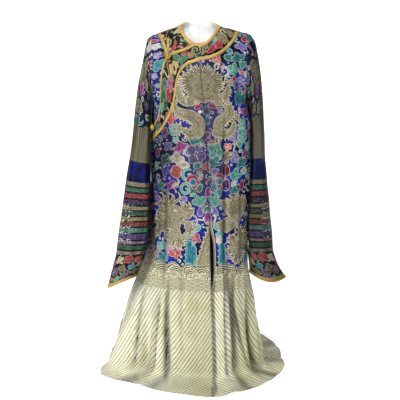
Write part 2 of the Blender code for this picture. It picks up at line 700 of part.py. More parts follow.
def toward(p, q, by):
    d = q - p
    return p + d / np.maximum(np.linalg.norm(d, axis=-1, keepdims=True), 1e-9) * by


def on_neck(lines, lift):
    """Points on the body under the facing round the neck, moved out."""
    x, run = lines[..., 0], lines[..., 1]
    sunk = np.where((x < -1e-6) & (run > 1e-6), inset(x / HALF, np.abs(run)), 0.0)
    p = outline(x, run, lift + sunk)
    # clear of the centre front seam
    p[..., 0] += np.where((np.abs(x) < 1e-6) & (run > 0), SEAM, 0)
    return p


def on_lapel(lines, lift):
    return on_overlap(lines[..., 0] / HALF, lines[..., 1], lift)


turns, neck_lines = yoke_lines(0, 342)
corner = int(round(306 / (90 / STATIONS)))      # the facing meets the overlap's edge here
n_all = len(turns) - 1
trim("neck_binding", neck_lines, on_neck, "gold_braid", TRIM + 0.0006, 0, 1)
trim("neck_facing", neck_lines, on_neck, "facing_silk", TRIM, 1, 3,
     [(1, 3, 0, corner), (1, 4, corner, n_all - 1)])
trim("neck_facing_edge", neck_lines[:, :corner + 1], on_neck, "gold_braid", TRIM + 0.0004, 3, 4)
trim("lapel_edge", lapel_lines, on_lapel, "gold_braid", TRIM + 0.0006, 0, 1)
trim("lapel_facing", lapel_lines, on_lapel, "facing_silk", TRIM, 1, 3)
trim("lapel_facing_edge", lapel_lines, on_lapel, "gold_braid", TRIM + 0.0004, 3, 4)

# ------------------------------------------------------------------ buttons, loops and tabs
def ball(name, at, radius):
    bm = bmesh.new()
    bmesh.ops.create_uvsphere(bm, u_segments=10, v_segments=6, radius=radius)
    me = bpy.data.meshes.new(name)
    bm.to_mesh(me)
    bm.free()
    me.shade_smooth()
    me.materials.append(material("gilt"))
    ob = bpy.data.objects.new(name, me)
    ob.location = at
    bpy.context.scene.collection.objects.link(ob)
    return ob


def cord(name, points, radius, slot):
    """A round cord with flat ends through the given points."""
    p = np.array(points, float)
    rings = []
    for i in range(len(p)):
        d = p[min(i + 1, len(p) - 1)] - p[max(i - 1, 0)]
        d /= np.linalg.norm(d)
        u = np.cross(d, (0, 1, 0.2))
        u /= np.linalg.norm(u)
        v = np.cross(d, u)
        a = np.linspace(0, 2 * math.pi, 7)[:-1]
        rings.append(p[i] + radius * (np.cos(a)[:, None] * u + np.sin(a)[:, None] * v))
    n = 6
    faces = []
    for r in range(len(p) - 1):
        for c in range(n):
            d = (c + 1) % n
            faces.append((r * n + c, r * n + d, (r + 1) * n + d, (r + 1) * n + c))
    faces += [tuple(range(n))[::-1], tuple((len(p) - 1) * n + c for c in range(n))]
    ob = make(name, np.concatenate(rings), faces, slot)
    outward(ob)
    return ob


STACK = GAP + TRIM + 0.0010        # top of the lapel's edge binding above the cloth
BUTTONS = [
    # name     x        run
    ("collar", -0.1075, 0.1830),
    ("side", -0.1640, 0.4420),
]
for name, bx, brun in BUTTONS:
    root = outline(bx, brun, STACK + 0.0004)
    top = outline(bx, brun, STACK + 0.0004 + BUTTON_R)
    ball("button_" + name, top, BUTTON_R)
    # the cord loop lies round the button's foot, open where it goes back to the lapel
    n = (top - root) / np.linalg.norm(top - root)
    u = outline(bx, brun - 0.002, 0) - outline(bx, brun + 0.002, 0)
    u -= n * np.dot(n, u)
    u /= np.linalg.norm(u)
    v = np.cross(n, u)
    a = np.radians(np.linspace(32, 328, 11))
    r_loop = BUTTON_R + 0.0022
    centre = root + n * (BUTTON_R * 0.95 + 0.0004)
    cord("loop_" + name, [centre + r_loop * (math.cos(t) * u + math.sin(t) * v) for t in a], 0.0016, "gold_braid")

# tabs of the collar's fastening: one up over the facing, two down on the overlap
TABS = [
    # name          x0      run0   x1      run1   wide
    ("tab_up", -0.1130, 0.1560, -0.1120, 0.0950, 0.0080),
    ("tab_down_a", -0.1050, 0.2120, -0.0990, 0.2520, 0.0075),
    ("tab_down_b", -0.0930, 0.2020, -0.0800, 0.2330, 0.0075),
]
for name, x0, r0, x1, r1, wide in TABS:
    mid = resample([(x0, r0), (x1, r1)], 4)
    side_a, side_b = shift_line(mid, wide / 2), shift_line(mid, -wide / 2)
    sunk = inset(mid[:, 0] / HALF, mid[:, 1]) if name == "tab_up" else 0.0
    band(name, side_a, side_b, "gold_braid", sunk + 0.0044, across=1, thick=0.0012)
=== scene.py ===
# Dragon robe: the cloth's finish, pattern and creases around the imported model.
# Metres, +Z up. The robe faces -Y; +X is the wearer's left. On every panel u runs across
# the cloth and v down along it, in metres, so patterns, weaves and creases keep their size.
import bpy
import math

import numpy as np
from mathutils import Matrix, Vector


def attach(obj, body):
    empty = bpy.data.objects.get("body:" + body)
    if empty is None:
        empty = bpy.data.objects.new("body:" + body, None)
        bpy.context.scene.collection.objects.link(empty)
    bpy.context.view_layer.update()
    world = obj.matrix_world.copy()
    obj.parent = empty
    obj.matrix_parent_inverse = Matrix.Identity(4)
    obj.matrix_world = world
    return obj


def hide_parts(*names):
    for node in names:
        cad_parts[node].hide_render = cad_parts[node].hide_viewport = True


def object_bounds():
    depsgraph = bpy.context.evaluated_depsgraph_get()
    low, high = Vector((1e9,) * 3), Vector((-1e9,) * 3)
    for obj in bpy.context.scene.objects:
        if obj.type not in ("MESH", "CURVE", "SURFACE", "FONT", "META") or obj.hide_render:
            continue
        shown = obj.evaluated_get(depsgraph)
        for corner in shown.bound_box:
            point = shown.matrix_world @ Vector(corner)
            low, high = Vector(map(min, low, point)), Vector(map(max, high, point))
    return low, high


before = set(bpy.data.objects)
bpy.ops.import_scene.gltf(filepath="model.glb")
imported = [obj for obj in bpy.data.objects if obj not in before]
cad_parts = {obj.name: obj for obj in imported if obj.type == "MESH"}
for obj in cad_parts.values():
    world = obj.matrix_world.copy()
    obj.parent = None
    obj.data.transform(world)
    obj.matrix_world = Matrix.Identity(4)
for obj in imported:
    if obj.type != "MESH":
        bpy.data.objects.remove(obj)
CAD_BOX = [list(c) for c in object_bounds()]

# ------------------------------------------------------------------ camera
cam = bpy.data.objects.new("camera", bpy.data.cameras.new("camera"))
bpy.context.scene.collection.objects.link(cam)
cam.location = (0.0, -2.6, -0.225)
cam.rotation_euler = (math.radians(90 - 9.1), 0.0, 0.0)
cam.data.sensor_width = 36.0
cam.data.lens = 691 * 36 / 400
cam.data.shift_x = 1 / 400
bpy.context.scene.camera = cam

# ------------------------------------------------------------------ named sizes
FLOOR = 1.275            # shoulder line to the surface that the hem lies on
WALL = 0.0020            # cloth
TRIM = 0.0014            # facings and bindings
SEAM = 0.0005            # gap between sewn pieces
HALF = 0.1726            # centre to armhole
ROLL = 0.14              # radius of the cloth over the shoulder
ARM_DROP = 0.27          # shoulder to underarm
ARM_DEEP = 0.063         # half depth of the armhole
NECK_HALF = 0.066        # half width of the neck hole
NECK_FRONT = 0.1395      # run of the neckline at the centre front
NECK_BACK = 0.078        # run of the neckline at the centre back
NECK_RISE = 0.037        # how much higher the back of the neck stands
BIND = 0.0150            # width of the gold bindings
LAP = 0.0060             # the underlap lies this far inside the overlap
VENT_RUN = 0.795         # run at which the centre seam opens
LAP_END = 0.800          # run at which the short underlap ends
BEND = 0.013             # softness of the bend where the skirt meets the floor
BUTTON_R = 0.0085

# half widths, depths and the drift of the centre seam, a row for each section
SECTIONS = [
    # drop  wide_right wide_left front  back   seam_x      (wearer's right is -X)
    (0.000, 0.1726, 0.1726, 0.112, 0.090, 0.000),
    (0.140, 0.1726, 0.1726, 0.118, 0.097, 0.004),
    (0.270, 0.1726, 0.1726, 0.130, 0.102, 0.016),
    (0.300, 0.1745, 0.1800, 0.132, 0.102, 0.019),
    (0.345, 0.1785, 0.1895, 0.135, 0.102, 0.024),
    (0.440, 0.1805, 0.1925, 0.139, 0.102, 0.029),
    (0.560, 0.1820, 0.1858, 0.144, 0.106, 0.033),
    (0.630, 0.1826, 0.1818, 0.147, 0.110, 0.035),
    (0.700, 0.1855, 0.1795, 0.150, 0.116, 0.038),
    (0.790, 0.1950, 0.1785, 0.155, 0.126, 0.040),
    (0.870, 0.2120, 0.1800, 0.160, 0.138, 0.042),
    (0.930, 0.2355, 0.1870, 0.163, 0.148, 0.044),
    (1.000, 0.2620, 0.1985, 0.167, 0.160, 0.046),
    (1.080, 0.2840, 0.2115, 0.173, 0.174, 0.049),
    (1.160, 0.3080, 0.2225, 0.180, 0.189, 0.051),
    (1.275, 0.3250, 0.2390, 0.190, 0.208, 0.053),
]
# where the skirt is spread to a corner: direction, half width and reach at the floor
SPREADS = [
    # way   half_way reach  drop_from
    (-63, 16.0, 0.080, 0.93),
]
# how far the hem lies out over the floor, by direction (0 is the front, + the wearer's left)
HEM_LIES = [
    # way   out
    (-180, 0.125), (-150, 0.120), (-120, 0.075), (-95, 0.026), (-80, 0.018),
    (-65, 0.030), (-57, 0.068), (-50, 0.086), (-35, 0.116), (-15, 0.152), (0, 0.162),
    (15, 0.129), (35, 0.103), (55, 0.085), (75, 0.090), (90, 0.088),
    (110, 0.107), (135, 0.145), (160, 0.140), (180, 0.125),
]
# main folds: place across (way in degrees) at the top and at the hem, run where it
# starts and where it is full, half width in degrees, depth (minus is a trough)
FOLDS = [
    # way_top way_hem run_from run_full half_way depth   name
    (-50, -43, 0.90, 1.30, 5.0, -0.020),   # front right panel, outer groove
    (-36, -29, 0.95, 1.32, 4.0, -0.015),   # front right panel, inner groove
    (-66, -58, 0.80, 1.30, 7.0, 0.014),    # front right panel, corner ridge
    (-42, -36, 0.95, 1.30, 4.0, 0.010),
    (-12, -14, 0.90, 1.30, 8.0, 0.008),
    (13, 10, 1.00, 1.12, 4.5, 0.014),      # pale pleat beside the vent
    (23, 21, 0.82, 1.05, 4.0, -0.022),     # dark trough beside it
    (33, 52, 1.02, 1.26, 5.0, -0.026),     # slanting groove, front left panel
    (33, 36, 0.90, 1.20, 5.0, 0.010),
    (62, 70, 0.95, 1.30, 7.0, 0.014),
    (82, 84, 0.95, 1.30, 5.0, -0.014),
    (100, 102, 0.70, 1.25, 8.0, 0.014),    # wearer's left side, round to the back
    (118, 121, 0.65, 1.25, 6.0, -0.018),
    (136, 138, 0.80, 1.30, 7.0, 0.016),
    (153, 155, 0.60, 1.20, 6.0, -0.018),
    (168, 168, 0.75, 1.25, 5.0, 0.012),
    (-168, -166, 0.65, 1.25, 6.0, 0.013),
    (-152, -149, 0.60, 1.20, 6.0, -0.020),
    (-134, -131, 0.80, 1.30, 7.0, 0.015),
    (-117, -113, 0.65, 1.25, 6.0, -0.016),
    (-98, -95, 0.80, 1.30, 6.0, 0.010),
    (-82, -80, 0.90, 1.30, 5.0, -0.012),
]
# the edge of the overlap, from the centre front round the neck and down to the side
LAPEL = [
    # x       run
    (0.0000, 0.1395), (-0.0180, 0.1400), (-0.0400, 0.1530), (-0.0700, 0.1640),
    (-0.1000, 0.1710), (-0.1190, 0.1830), (-0.1330, 0.2200), (-0.1405, 0.2700),
    (-0.1455, 0.3200), (-0.1490, 0.3650), (-0.1570, 0.4080), (-0.1665, 0.4370),
    (-0.1726, 0.4560),
]
# the outer edge of the facing on the overlap, station by station with LAPEL
LAPEL_FACING = [
    # x       run
    (0.0000, 0.2050), (-0.0220, 0.2120), (-0.0440, 0.2200), (-0.0600, 0.2330),
    (-0.0720, 0.2500), (-0.0810, 0.2720), (-0.0880, 0.3000), (-0.0940, 0.3300),
    (-0.1020, 0.3600), (-0.1130, 0.3880), (-0.1280, 0.4210), (-0.1480, 0.4580),
    (-0.1726, 0.5050),
]
# outer edge of the facing round the neck: turn about the neck, x and run (minus at the back)
NECK_FACING = [
    # turn   x       run
    (0, 0.0000, 0.2050), (22, 0.0360, 0.1980), (44, 0.0760, 0.1800), (64, 0.1120, 0.1400),
    (80, 0.1400, 0.0700), (90, 0.1500, 0.0000), (104, 0.1420, -0.0650), (124, 0.1120, -0.1200),
    (150, 0.0580, -0.1520), (180, 0.0000, -0.1600), (210, -0.0580, -0.1520),
    (236, -0.1120, -0.1200), (256, -0.1440, -0.0650), (270, -0.1550, 0.0000),
    (279, -0.1500, 0.0370), (288, -0.1420, 0.0850), (297, -0.1310, 0.1320),
    (306, -0.1175, 0.1720), (315, -0.0960, 0.1670), (324, -0.0720, 0.1612),
    (333, -0.0475, 0.1530), (342, -0.0275, 0.1435), (351, -0.0120, 0.1480), (360, 0.0000, 0.1520),
]
# sleeves: outer and inner point of each ring, its middle's y and half depth
SLEEVE_RIGHT = [
    # out_x  out_z   in_x    in_z    mid_y   deep
    (0.1900, -0.0430, 0.1738, -0.2745, 0.000, 0.0640),
    (0.1985, -0.0830, 0.1755, -0.2800, 0.000, 0.0645),
    (0.2085, -0.1340, 0.1775, -0.2870, 0.000, 0.0640),
    (0.2205, -0.1880, 0.1790, -0.2970, 0.000, 0.0630),
    (0.2315, -0.2450, 0.1810, -0.3130, 0.000, 0.0620),
    (0.2400, -0.3100, 0.1830, -0.3400, -0.002, 0.0610),
    (0.2465, -0.3700, 0.1845, -0.3840, -0.006, 0.0600),
    (0.2540, -0.4250, 0.1845, -0.4320, -0.010, 0.0590),
    (0.2620, -0.4820, 0.1832, -0.4960, -0.016, 0.0580),
    (0.2735, -0.5580, 0.1837, -0.5680, -0.026, 0.0570),
    (0.2845, -0.6350, 0.1845, -0.6380, -0.038, 0.0555),
    (0.2945, -0.7080, 0.1875, -0.7080, -0.052, 0.0530),
    (0.3025, -0.7780, 0.1910, -0.7770, -0.067, 0.0500),
    (0.3085, -0.8260, 0.1975, -0.8240, -0.080, 0.0470),
    (0.3190, -0.8640, 0.2050, -0.8500, -0.087, 0.0480),
    (0.3310, -0.9110, 0.2190, -0.8820, -0.092, 0.0470),
    (0.3430, -0.9600, 0.2320, -0.9130, -0.096, 0.0450),
]
SLEEVE_LEFT = [
    # out_x  out_z   in_x    in_z    mid_y   deep
    (0.1900, -0.0275, 0.1740, -0.2745, 0.000, 0.0640),
    (0.2055, -0.0540, 0.1765, -0.2805, 0.000, 0.0650),
    (0.2145, -0.0960, 0.1800, -0.2885, 0.000, 0.0650),
    (0.2240, -0.1450, 0.1845, -0.3000, 0.000, 0.0645),
    (0.2320, -0.2020, 0.1895, -0.3170, 0.000, 0.0640),
    (0.2385, -0.2700, 0.1915, -0.3330, 0.000, 0.0635),
    (0.2425, -0.3420, 0.1943, -0.3540, -0.003, 0.0630),
    (0.2455, -0.4000, 0.1957, -0.4040, -0.008, 0.0620),
    (0.2485, -0.4740, 0.1946, -0.4760, -0.015, 0.0610),
    (0.2560, -0.5500, 0.1905, -0.5540, -0.025, 0.0600),
    (0.2630, -0.6300, 0.1875, -0.6320, -0.037, 0.0590),
    (0.2695, -0.7080, 0.1845, -0.7080, -0.052, 0.0550),
    (0.2750, -0.7650, 0.1828, -0.7650, -0.064, 0.0510),
    (0.2775, -0.8140, 0.1818, -0.8150, -0.077, 0.0480),
    (0.2870, -0.8480, 0.1830, -0.8380, -0.085, 0.0540),
    (0.3030, -0.8840, 0.1865, -0.8680, -0.090, 0.0590),
    (0.3250, -0.9180, 0.1885, -0.9010, -0.094, 0.0620),
]
# rings shared out between the sewn stretches of a sleeve
UPPER, BAND, LOWER, CUFF = (0, 8), (8, 9), (9, 13), (13, 16)
CUFF_DIP = {"right": -0.009, "left": 0.011}   # how far the front of the cuff reaches lower
FACETS = 8               # facets on each half of a sleeve and of an armhole

# ------------------------------------------------------------------ curves
def smooth(xs, ys):
    """Smooth curve through table values that never overshoots them."""
    xs = np.asarray(xs, float)
    ys = np.asarray(ys, float)
    h = np.diff(xs)
    m = np.diff(ys) / h
    t = np.zeros(len(xs))
    t[0], t[-1] = m[0], m[-1]
    for i in range(1, len(xs) - 1):
        if m[i - 1] * m[i] > 0:
            w1, w2 = 2 * h[i] + h[i - 1], h[i] + 2 * h[i - 1]
            t[i] = (w1 + w2) / (w1 / m[i - 1] + w2 / m[i])

    def f(x):
        x = np.clip(x, xs[0], xs[-1])
        i = np.clip(np.searchsorted(xs, x) - 1, 0, len(h) - 1)
        u = (x - xs[i]) / h[i]
        return ((2 * u**3 - 3 * u**2 + 1) * ys[i] + (u**3 - 2 * u**2 + u) * h[i] * t[i]
                + (3 * u**2 - 2 * u**3) * ys[i + 1] + (u**3 - u**2) * h[i] * t[i + 1])
    return f


def columns(table):
    return [list(c) for c in zip(*table)]


def step(x, a, b):
    u = np.clip((x - a) / (b - a), 0, 1)
    return u * u * (3 - 2 * u)


_drop, _wr, _wl, _fr, _bk, _sx = columns(SECTIONS)
wide_right, wide_left = smooth(_drop, _wr), smooth(_drop, _wl)
front_deep, back_deep, seam_x = smooth(_drop, _fr), smooth(_drop, _bk), smooth(_drop, _sx)
hem_lies = smooth(*columns(HEM_LIES))


def shoulder_fall(x):
    """The shoulder line falls away from the neck to the arm."""
    deep = np.where(np.asarray(x) < 0, 0.032, 0.023)
    return -deep * step(np.abs(x), 0.055, 0.195) ** 1.15


# ------------------------------------------------------------------ the cloth's surface
def spread(way, drop):
    total = np.zeros(np.broadcast(way, drop).shape)
    for at, half_way, reach, drop_from in SPREADS:
        off = (way - at + 180) % 360 - 180
        total += reach * np.clip((drop - drop_from) / (FLOOR - drop_from), 0, 1) ** 1.3 * np.exp(-(off / half_way) ** 2)
    return total


def folds(way, run):
    total = np.zeros(np.broadcast(way, run).shape)
    for way_top, way_hem, run_from, run_full, half_way, depth in FOLDS:
        at = way_top + (way_hem - way_top) * np.clip((run - run_from) / (1.45 - run_from), 0, 1)
        off = (way - at + 180) % 360 - 180
        total += depth * step(run, run_from, run_full) * np.exp(-(off / half_way) ** 2)
    return total


def base(share, run, face):
    """Point on the outer side of the cloth. face is +1 on the front, -1 on the back."""
    share, run = np.broadcast_arrays(np.asarray(share, float), np.asarray(run, float))
    turn = np.minimum(run / ROLL, math.pi / 2)
    drop = ROLL * (1 - np.cos(turn)) + np.maximum(run - ROLL * math.pi / 2, 0)
    past = drop - (FLOOR - WALL)
    rise = BEND * np.logaddexp(0, -past / BEND)
    out = BEND * np.logaddexp(0, past / BEND)
    flat = 1 / (1 + np.exp(-past / BEND))
    drop = (FLOOR - WALL) - rise
    side = np.sign(share)
    across = np.abs(share)
    cosine = np.sqrt(np.clip(1 - across**2, 0, 1))
    way = np.degrees(np.arctan2(share, face * cosine))
    wide = np.where(share < 0, wide_right(drop), wide_left(drop))
    deep = (front_deep(drop) if face > 0 else back_deep(drop)) * np.sin(turn)
    e = ARM_DEEP * np.sqrt(np.clip(1 - (2 * drop / ARM_DROP - 1) ** 2, 0, 1)) * (drop < ARM_DROP)
    level = step(drop, ARM_DROP - 0.07, ARM_DROP + 0.05)
    bow = np.cos(math.pi / 2 * across) * (1 - level) + cosine * level
    x = wide * share
    y = e + (deep - e) * bow
    if face > 0:
        x = x + seam_x(drop) * bow
    z = shoulder_fall(x) * (1 - step(drop, 0, 0.27)) - drop
    if face < 0:
        z = z + NECK_RISE * step(run, 0, 0.07) * (1 - step(run, 0.06, 0.30)) * (1 - step(np.abs(x), 0.03, 0.13))
    bulge = folds(way, run)
    stand = bulge * (1 - flat)
    wider = out + stand + spread(way, drop)
    x = x + share * wider
    y = y + cosine * wider
    z = z + flat * np.maximum(bulge, 0) * 0.55
    return np.stack([x, -face * y, z], -1)


def cloth(share, run, face, lift=0.0):
    """Point moved out from the cloth by lift, along the cloth's normal."""
    share, run = np.broadcast_arrays(np.asarray(share, float), np.asarray(run, float))
    p = base(share, run, face)
    a, b = 0.004, 0.002
    sa, sb = np.clip(share - a, -0.9995, 0.9995), np.clip(share + a, -0.9995, 0.9995)
    ra, rb = np.maximum(run - b, 0), run + b
    du = base(sb, run, face) - base(sa, run, face)
    dv = base(share, rb, face) - base(share, ra, face)
    n = np.cross(dv, du) * face
    n /= np.maximum(np.linalg.norm(n, axis=-1, keepdims=True), 1e-12)
    return p + n * np.asarray(lift)[..., None]


def outline(x, run, lift):
    """A point given by x and signed run (minus is the back), for trims near the neck."""
    x, run = np.broadcast_arrays(np.asarray(x, float), np.asarray(run, float))
    lift = np.broadcast_to(lift, x.shape)
    f = cloth(x / HALF, np.abs(run), 1, lift)
    b = cloth(x / HALF, np.abs(run), -1, lift)
    return np.where((run >= 0)[..., None], f, b)


def inset(share, run):
    """The wearer's right front lies inside the overlap, but meets the sleeve at the armhole."""
    at_arm = step(run, 0.0, 0.11) * step(1 - np.abs(share), 0.0, 0.22)
    return -LAP * np.maximum(at_arm, step(run, 0.352, 0.420))


def hem_run(share, face):
    cosine = np.sqrt(np.clip(1 - np.asarray(share) ** 2, 0, 1))
    way = np.degrees(np.arctan2(share, face * cosine))
    return FLOOR - WALL - ROLL + ROLL * math.pi / 2 + hem_lies(way)


# ------------------------------------------------------------------ rows and columns of a panel
def ring_shape(k, turn):
    """Across and out of the middle of a sleeve ring, from -1 to 1. Below the underarm the side
    against the body is flat, and the cuff is folded to an edge at its outer and inner side."""
    c, s = np.cos(turn), np.sin(turn)
    flat = step(k, 3.5, 5.5) * (1 - step(k, 11.3, 13.2))
    c = c + (c < 0) * flat * (-(1 - (1 - np.abs(c)) ** 3) - c)
    return c, s * np.abs(s) ** (0.8 * step(k, 13.0, 15.6))


def armhole_runs(n):
    """Runs of the rows that meet the sleeve's facets."""
    d = ARM_DROP / 2 * (1 - np.cos(np.linspace(0, math.pi, n + 1)))
    return np.where(d < ROLL, ROLL * np.arccos(np.clip(1 - d / ROLL, -1, 1)),
                    d - ROLL + ROLL * math.pi / 2)


ROWS_BELOW = [0.43, 0.53, 0.64, 0.74, 0.84, 0.93, 1.01, 1.08, 1.15, 1.21, 1.27, 1.315, 1.345, 1.38]


STATIONS = 10            # stations round each quarter of the neck
EDGE = 0.0120            # width of the binding at a facing's outer edge


def neck_line(turn_deg, out=0.0):
    """The neckline as (x, signed run), moved out by a distance over the cloth."""
    t = np.radians(np.asarray(turn_deg, float))
    deep = np.where(np.cos(t) >= 0, NECK_FRONT, NECK_BACK)
    return np.stack([(NECK_HALF + out) * np.sin(t), (deep + out) * np.cos(t)], -1)


def strips(near, far, bind):
    """Lines across a facing: its edge, binding, middle, outer binding and outer edge."""
    d = far - near
    length = np.linalg.norm(d, axis=1)
    u = d / length[:, None]
    first = np.minimum(bind, 0.85 * length)
    last = np.minimum(EDGE, 0.4 * (length - first))
    marks = [0 * length, first, (first + length - last) / 2, length - last, length]
    return np.array([near + u * m[:, None] for m in marks])


def facing_far(turns):
    t, x, r = columns(NECK_FACING)
    return np.stack([smooth(t, x)(turns), smooth(t, r)(turns)], -1)


def yoke_lines(first, last):
    """The facing's lines at the stations round the neck, from one turn to another."""
    turns = np.arange(first, last + 0.1, 90 / STATIONS)
    near = neck_line(turns)
    near[np.abs(near) < 1e-9] = 0.0
    far = facing_far(turns)
    return turns, strips(near, far, BIND)


def skirt_lines(tops, feet, rows, face, end=None, meet=0.42):
    """Lines down from the given tops to the hem, as share and run."""
    share = np.empty((len(rows) + 1, len(tops)))
    run = np.empty_like(share)
    for i, ((x, r0), foot) in enumerate(zip(tops, feet)):
        r0 = abs(r0)
        col = np.where(rows < 0.5, r0 + rows * (1 - r0 / 0.5), rows)
        run[:, i] = np.append(col, hem_run(foot, face) if end is None else end)
        k = step(run[:, i], r0, max(meet, r0 + 0.12))
        share[:, i] = x / HALF * (1 - k) + foot * k
    return share, run



# ------------------------------------------------------------------ distances over the cloth
RUNS = np.linspace(0, 1.56, 157)
SHARES = np.linspace(0, 1, 161)


def across_table(face, side):
    s, r = np.meshgrid(SHARES * side, RUNS)
    p = base(s, r, face)
    d = np.linalg.norm(np.diff(p, axis=1), axis=2)
    return np.concatenate([np.zeros((len(RUNS), 1)), np.cumsum(d, axis=1)], 1)


ACROSS = {(f, s): across_table(f, s) for f in (1, -1) for s in (1, -1)}


def across(share, run, face):
    """Distance over the cloth from the centre seam, plus on the wearer's left."""
    share, run = np.broadcast_arrays(share, run)
    i = np.clip(run / RUNS[1], 0, len(RUNS) - 1.001)
    j = np.clip(np.abs(share) / SHARES[1], 0, len(SHARES) - 1.001)
    i0, j0 = i.astype(int), j.astype(int)
    a, b = i - i0, j - j0
    out = np.zeros(share.shape)
    for side in (1, -1):
        t = ACROSS[face, side]
        v = (t[i0, j0] * (1 - a) * (1 - b) + t[i0 + 1, j0] * a * (1 - b)
             + t[i0, j0 + 1] * (1 - a) * b + t[i0 + 1, j0 + 1] * a * b)
        out = np.where(share * side >= 0, side * v, out)
    return out


# ------------------------------------------------------------------ creases
def crease(u, v, table):
    """Soft troughs and ridges along short lines on a panel. Depth is minus for a trough."""
    total = np.zeros(u.shape)
    for u0, v0, u1, v1, half, depth in table:
        du, dv = u1 - u0, v1 - v0
        length = math.hypot(du, dv)
        t = ((u - u0) * du + (v - v0) * dv) / length**2
        off = ((u - u0) * -dv + (v - v0) * du) / length
        off = off + 0.10 * length * (np.clip(t, 0, 1) - 0.5) ** 2          # a slight bow
        ends = step(t, -0.12, 0.30) * (1 - step(t, 0.62, 1.12))
        total += depth * ends * np.exp(-(off / half) ** 2)
    return total


def ripple(u, v, size, seed):
    """Small unevenness of hanging silk: a few crossed waves."""
    rng = np.random.default_rng(seed)
    total = np.zeros(u.shape)
    for k in range(7):
        a = rng.uniform(-0.5, 0.5)
        f = rng.uniform(0.6, 1.6) / size
        total += math.cos(a) * np.sin(2 * math.pi * f * (u * math.cos(a) + 0.35 * v * math.sin(a)) + rng.uniform(0, 6.3)
                                      + 1.3 * np.sin(2 * math.pi * v / (size * rng.uniform(3, 6)) + rng.uniform(0, 6.3)))
    return total / 7


# ------------------------------------------------------------------ meshes
def build(name, patches, every=3):
    """Closed thin shell from grids of outer and inner points, welded where they meet.
    A patch is (outer, inner, layers); a layer is a grid of values stored on the points.
    The inner side needs fewer points, so it keeps one row and column in `every`."""
    outers, inners, spans, layers = [], [], [], {}
    n = 0
    for outer, inner, values in patches:
        rows, cols = outer.shape[:2]
        spans.append((n, rows, cols))
        outers.append(outer.reshape(-1, 3))
        inner = inner.copy()
        inner[3:-3, 3:-3] += 0.35 * (inner - outer)[3:-3, 3:-3]
        inners.append(inner.reshape(-1, 3))
        for key, grid in values.items():
            layers.setdefault(key, []).append(np.asarray(grid, float).reshape(rows * cols, -1))
        n += rows * cols
    outer, inner = np.concatenate(outers), np.concatenate(inners)
    outer[:, 2], inner[:, 2] = np.maximum(outer[:, 2], -FLOOR), np.maximum(inner[:, 2], 0.0002 - FLOOR)
    same = np.arange(n)
    seen, edges = {}, []
    for start, rows, cols in spans:
        idx = start + np.arange(rows * cols).reshape(rows, cols)
        for k in np.concatenate([idx[0], idx[-1], idx[:, 0], idx[:, -1]]):
            key = tuple(np.round(outer[k], 5))
            same[k] = seen.setdefault(key, k)
    loops, sizes = [], []
    boundary = set()
    for start, rows, cols in spans:
        idx = start + np.arange(rows * cols).reshape(rows, cols)
        m = same[idx]
        a, b, c, d = m[:-1, :-1], m[1:, :-1], m[1:, 1:], m[:-1, 1:]
        mid = (rows // 2, cols // 2)
        nrm = np.cross(outer[b[mid]] - outer[a[mid]], outer[d[mid]] - outer[a[mid]])
        flip = np.dot(nrm, outer[a[mid]] - inner[a[mid]]) < 0
        q = np.stack([a, b, c, d], -1).reshape(-1, 4)
        if flip:
            q = q[:, ::-1]
        q = q[(q[:, 0] != q[:, 1]) & (q[:, 2] != q[:, 3]) & (q[:, 1] != q[:, 2]) & (q[:, 3] != q[:, 0])]
        loops.append(q.ravel())
        sizes.append(np.full(len(q), 4))
        ring = np.concatenate([m[:-1, 0], m[-1, :-1], m[:0:-1, -1], m[0, :0:-1]])
        if flip:
            ring = ring[::-1]
        for x, y in zip(ring, np.roll(ring, -1)):
            if x != y:
                boundary.add((int(x), int(y)))
        # the inner side
        rc = np.unique(np.append(np.arange(0, rows - 1, every), rows - 1))
        cc = np.unique(np.append(np.arange(0, cols - 1, every), cols - 1))
        g = n + m
        faces = []
        for i0, i1 in zip(rc[:-1], rc[1:]):
            for j0, j1 in zip(cc[:-1], cc[1:]):
                f = []
                f += list(g[i0:i1, j0]) if j0 == 0 else [g[i0, j0]]
                f += list(g[i1, j0:j1]) if i1 == rows - 1 else [g[i1, j0]]
                f += list(g[i1:i0:-1, j1]) if j1 == cols - 1 else [g[i1, j1]]
                f += list(g[i0, j1:j0:-1]) if i0 == 0 else [g[i0, j1]]
                f = [v for k, v in enumerate(f) if v != f[k - 1]]
                if len(set(f)) > 2:
                    faces.append(f if flip else f[::-1])
        loops.append(np.concatenate(faces))
        sizes.append(np.array([len(f) for f in faces]))
    rim = [(y, x, n + x, n + y) for x, y in sorted(boundary) if (y, x) not in boundary]
    if rim:
        loops.append(np.array(rim).ravel())
        sizes.append(np.full(len(rim), 4))
    loops, sizes = np.concatenate(loops), np.concatenate(sizes)
    used, loops = np.unique(loops, return_inverse=True)
    co = np.concatenate([outer, inner])[used]
    me = bpy.data.meshes.new(name)
    me.vertices.add(len(co))
    me.vertices.foreach_set("co", co.astype(np.float32).ravel())
    me.loops.add(len(loops))
    me.loops.foreach_set("vertex_index", loops.astype(np.int32).ravel())
    me.polygons.add(len(sizes))
    starts = np.concatenate([[0], np.cumsum(sizes)[:-1]])
    me.polygons.foreach_set("loop_start", starts.astype(np.int32))
    me.update(calc_edges=True)
    me.validate()
    me.shade_smooth()
    me.set_sharp_from_angle(angle=math.radians(62))
    store(me, "inside", (used >= n).astype(float)[:, None])
    for key, grids in layers.items():
        v = np.concatenate(grids)
        store(me, key, np.concatenate([v, v])[used])
    ob = bpy.data.objects.new(name, me)
    bpy.context.scene.collection.objects.link(ob)
    return ob


def store(me, key, values):
    kind = {1: ("FLOAT", "value"), 3: ("FLOAT_VECTOR", "vector")}[values.shape[1]]
    layer = me.attributes.new(key, kind[0], "POINT")
    layer.data.foreach_set(kind[1], values.astype(np.float32).ravel())


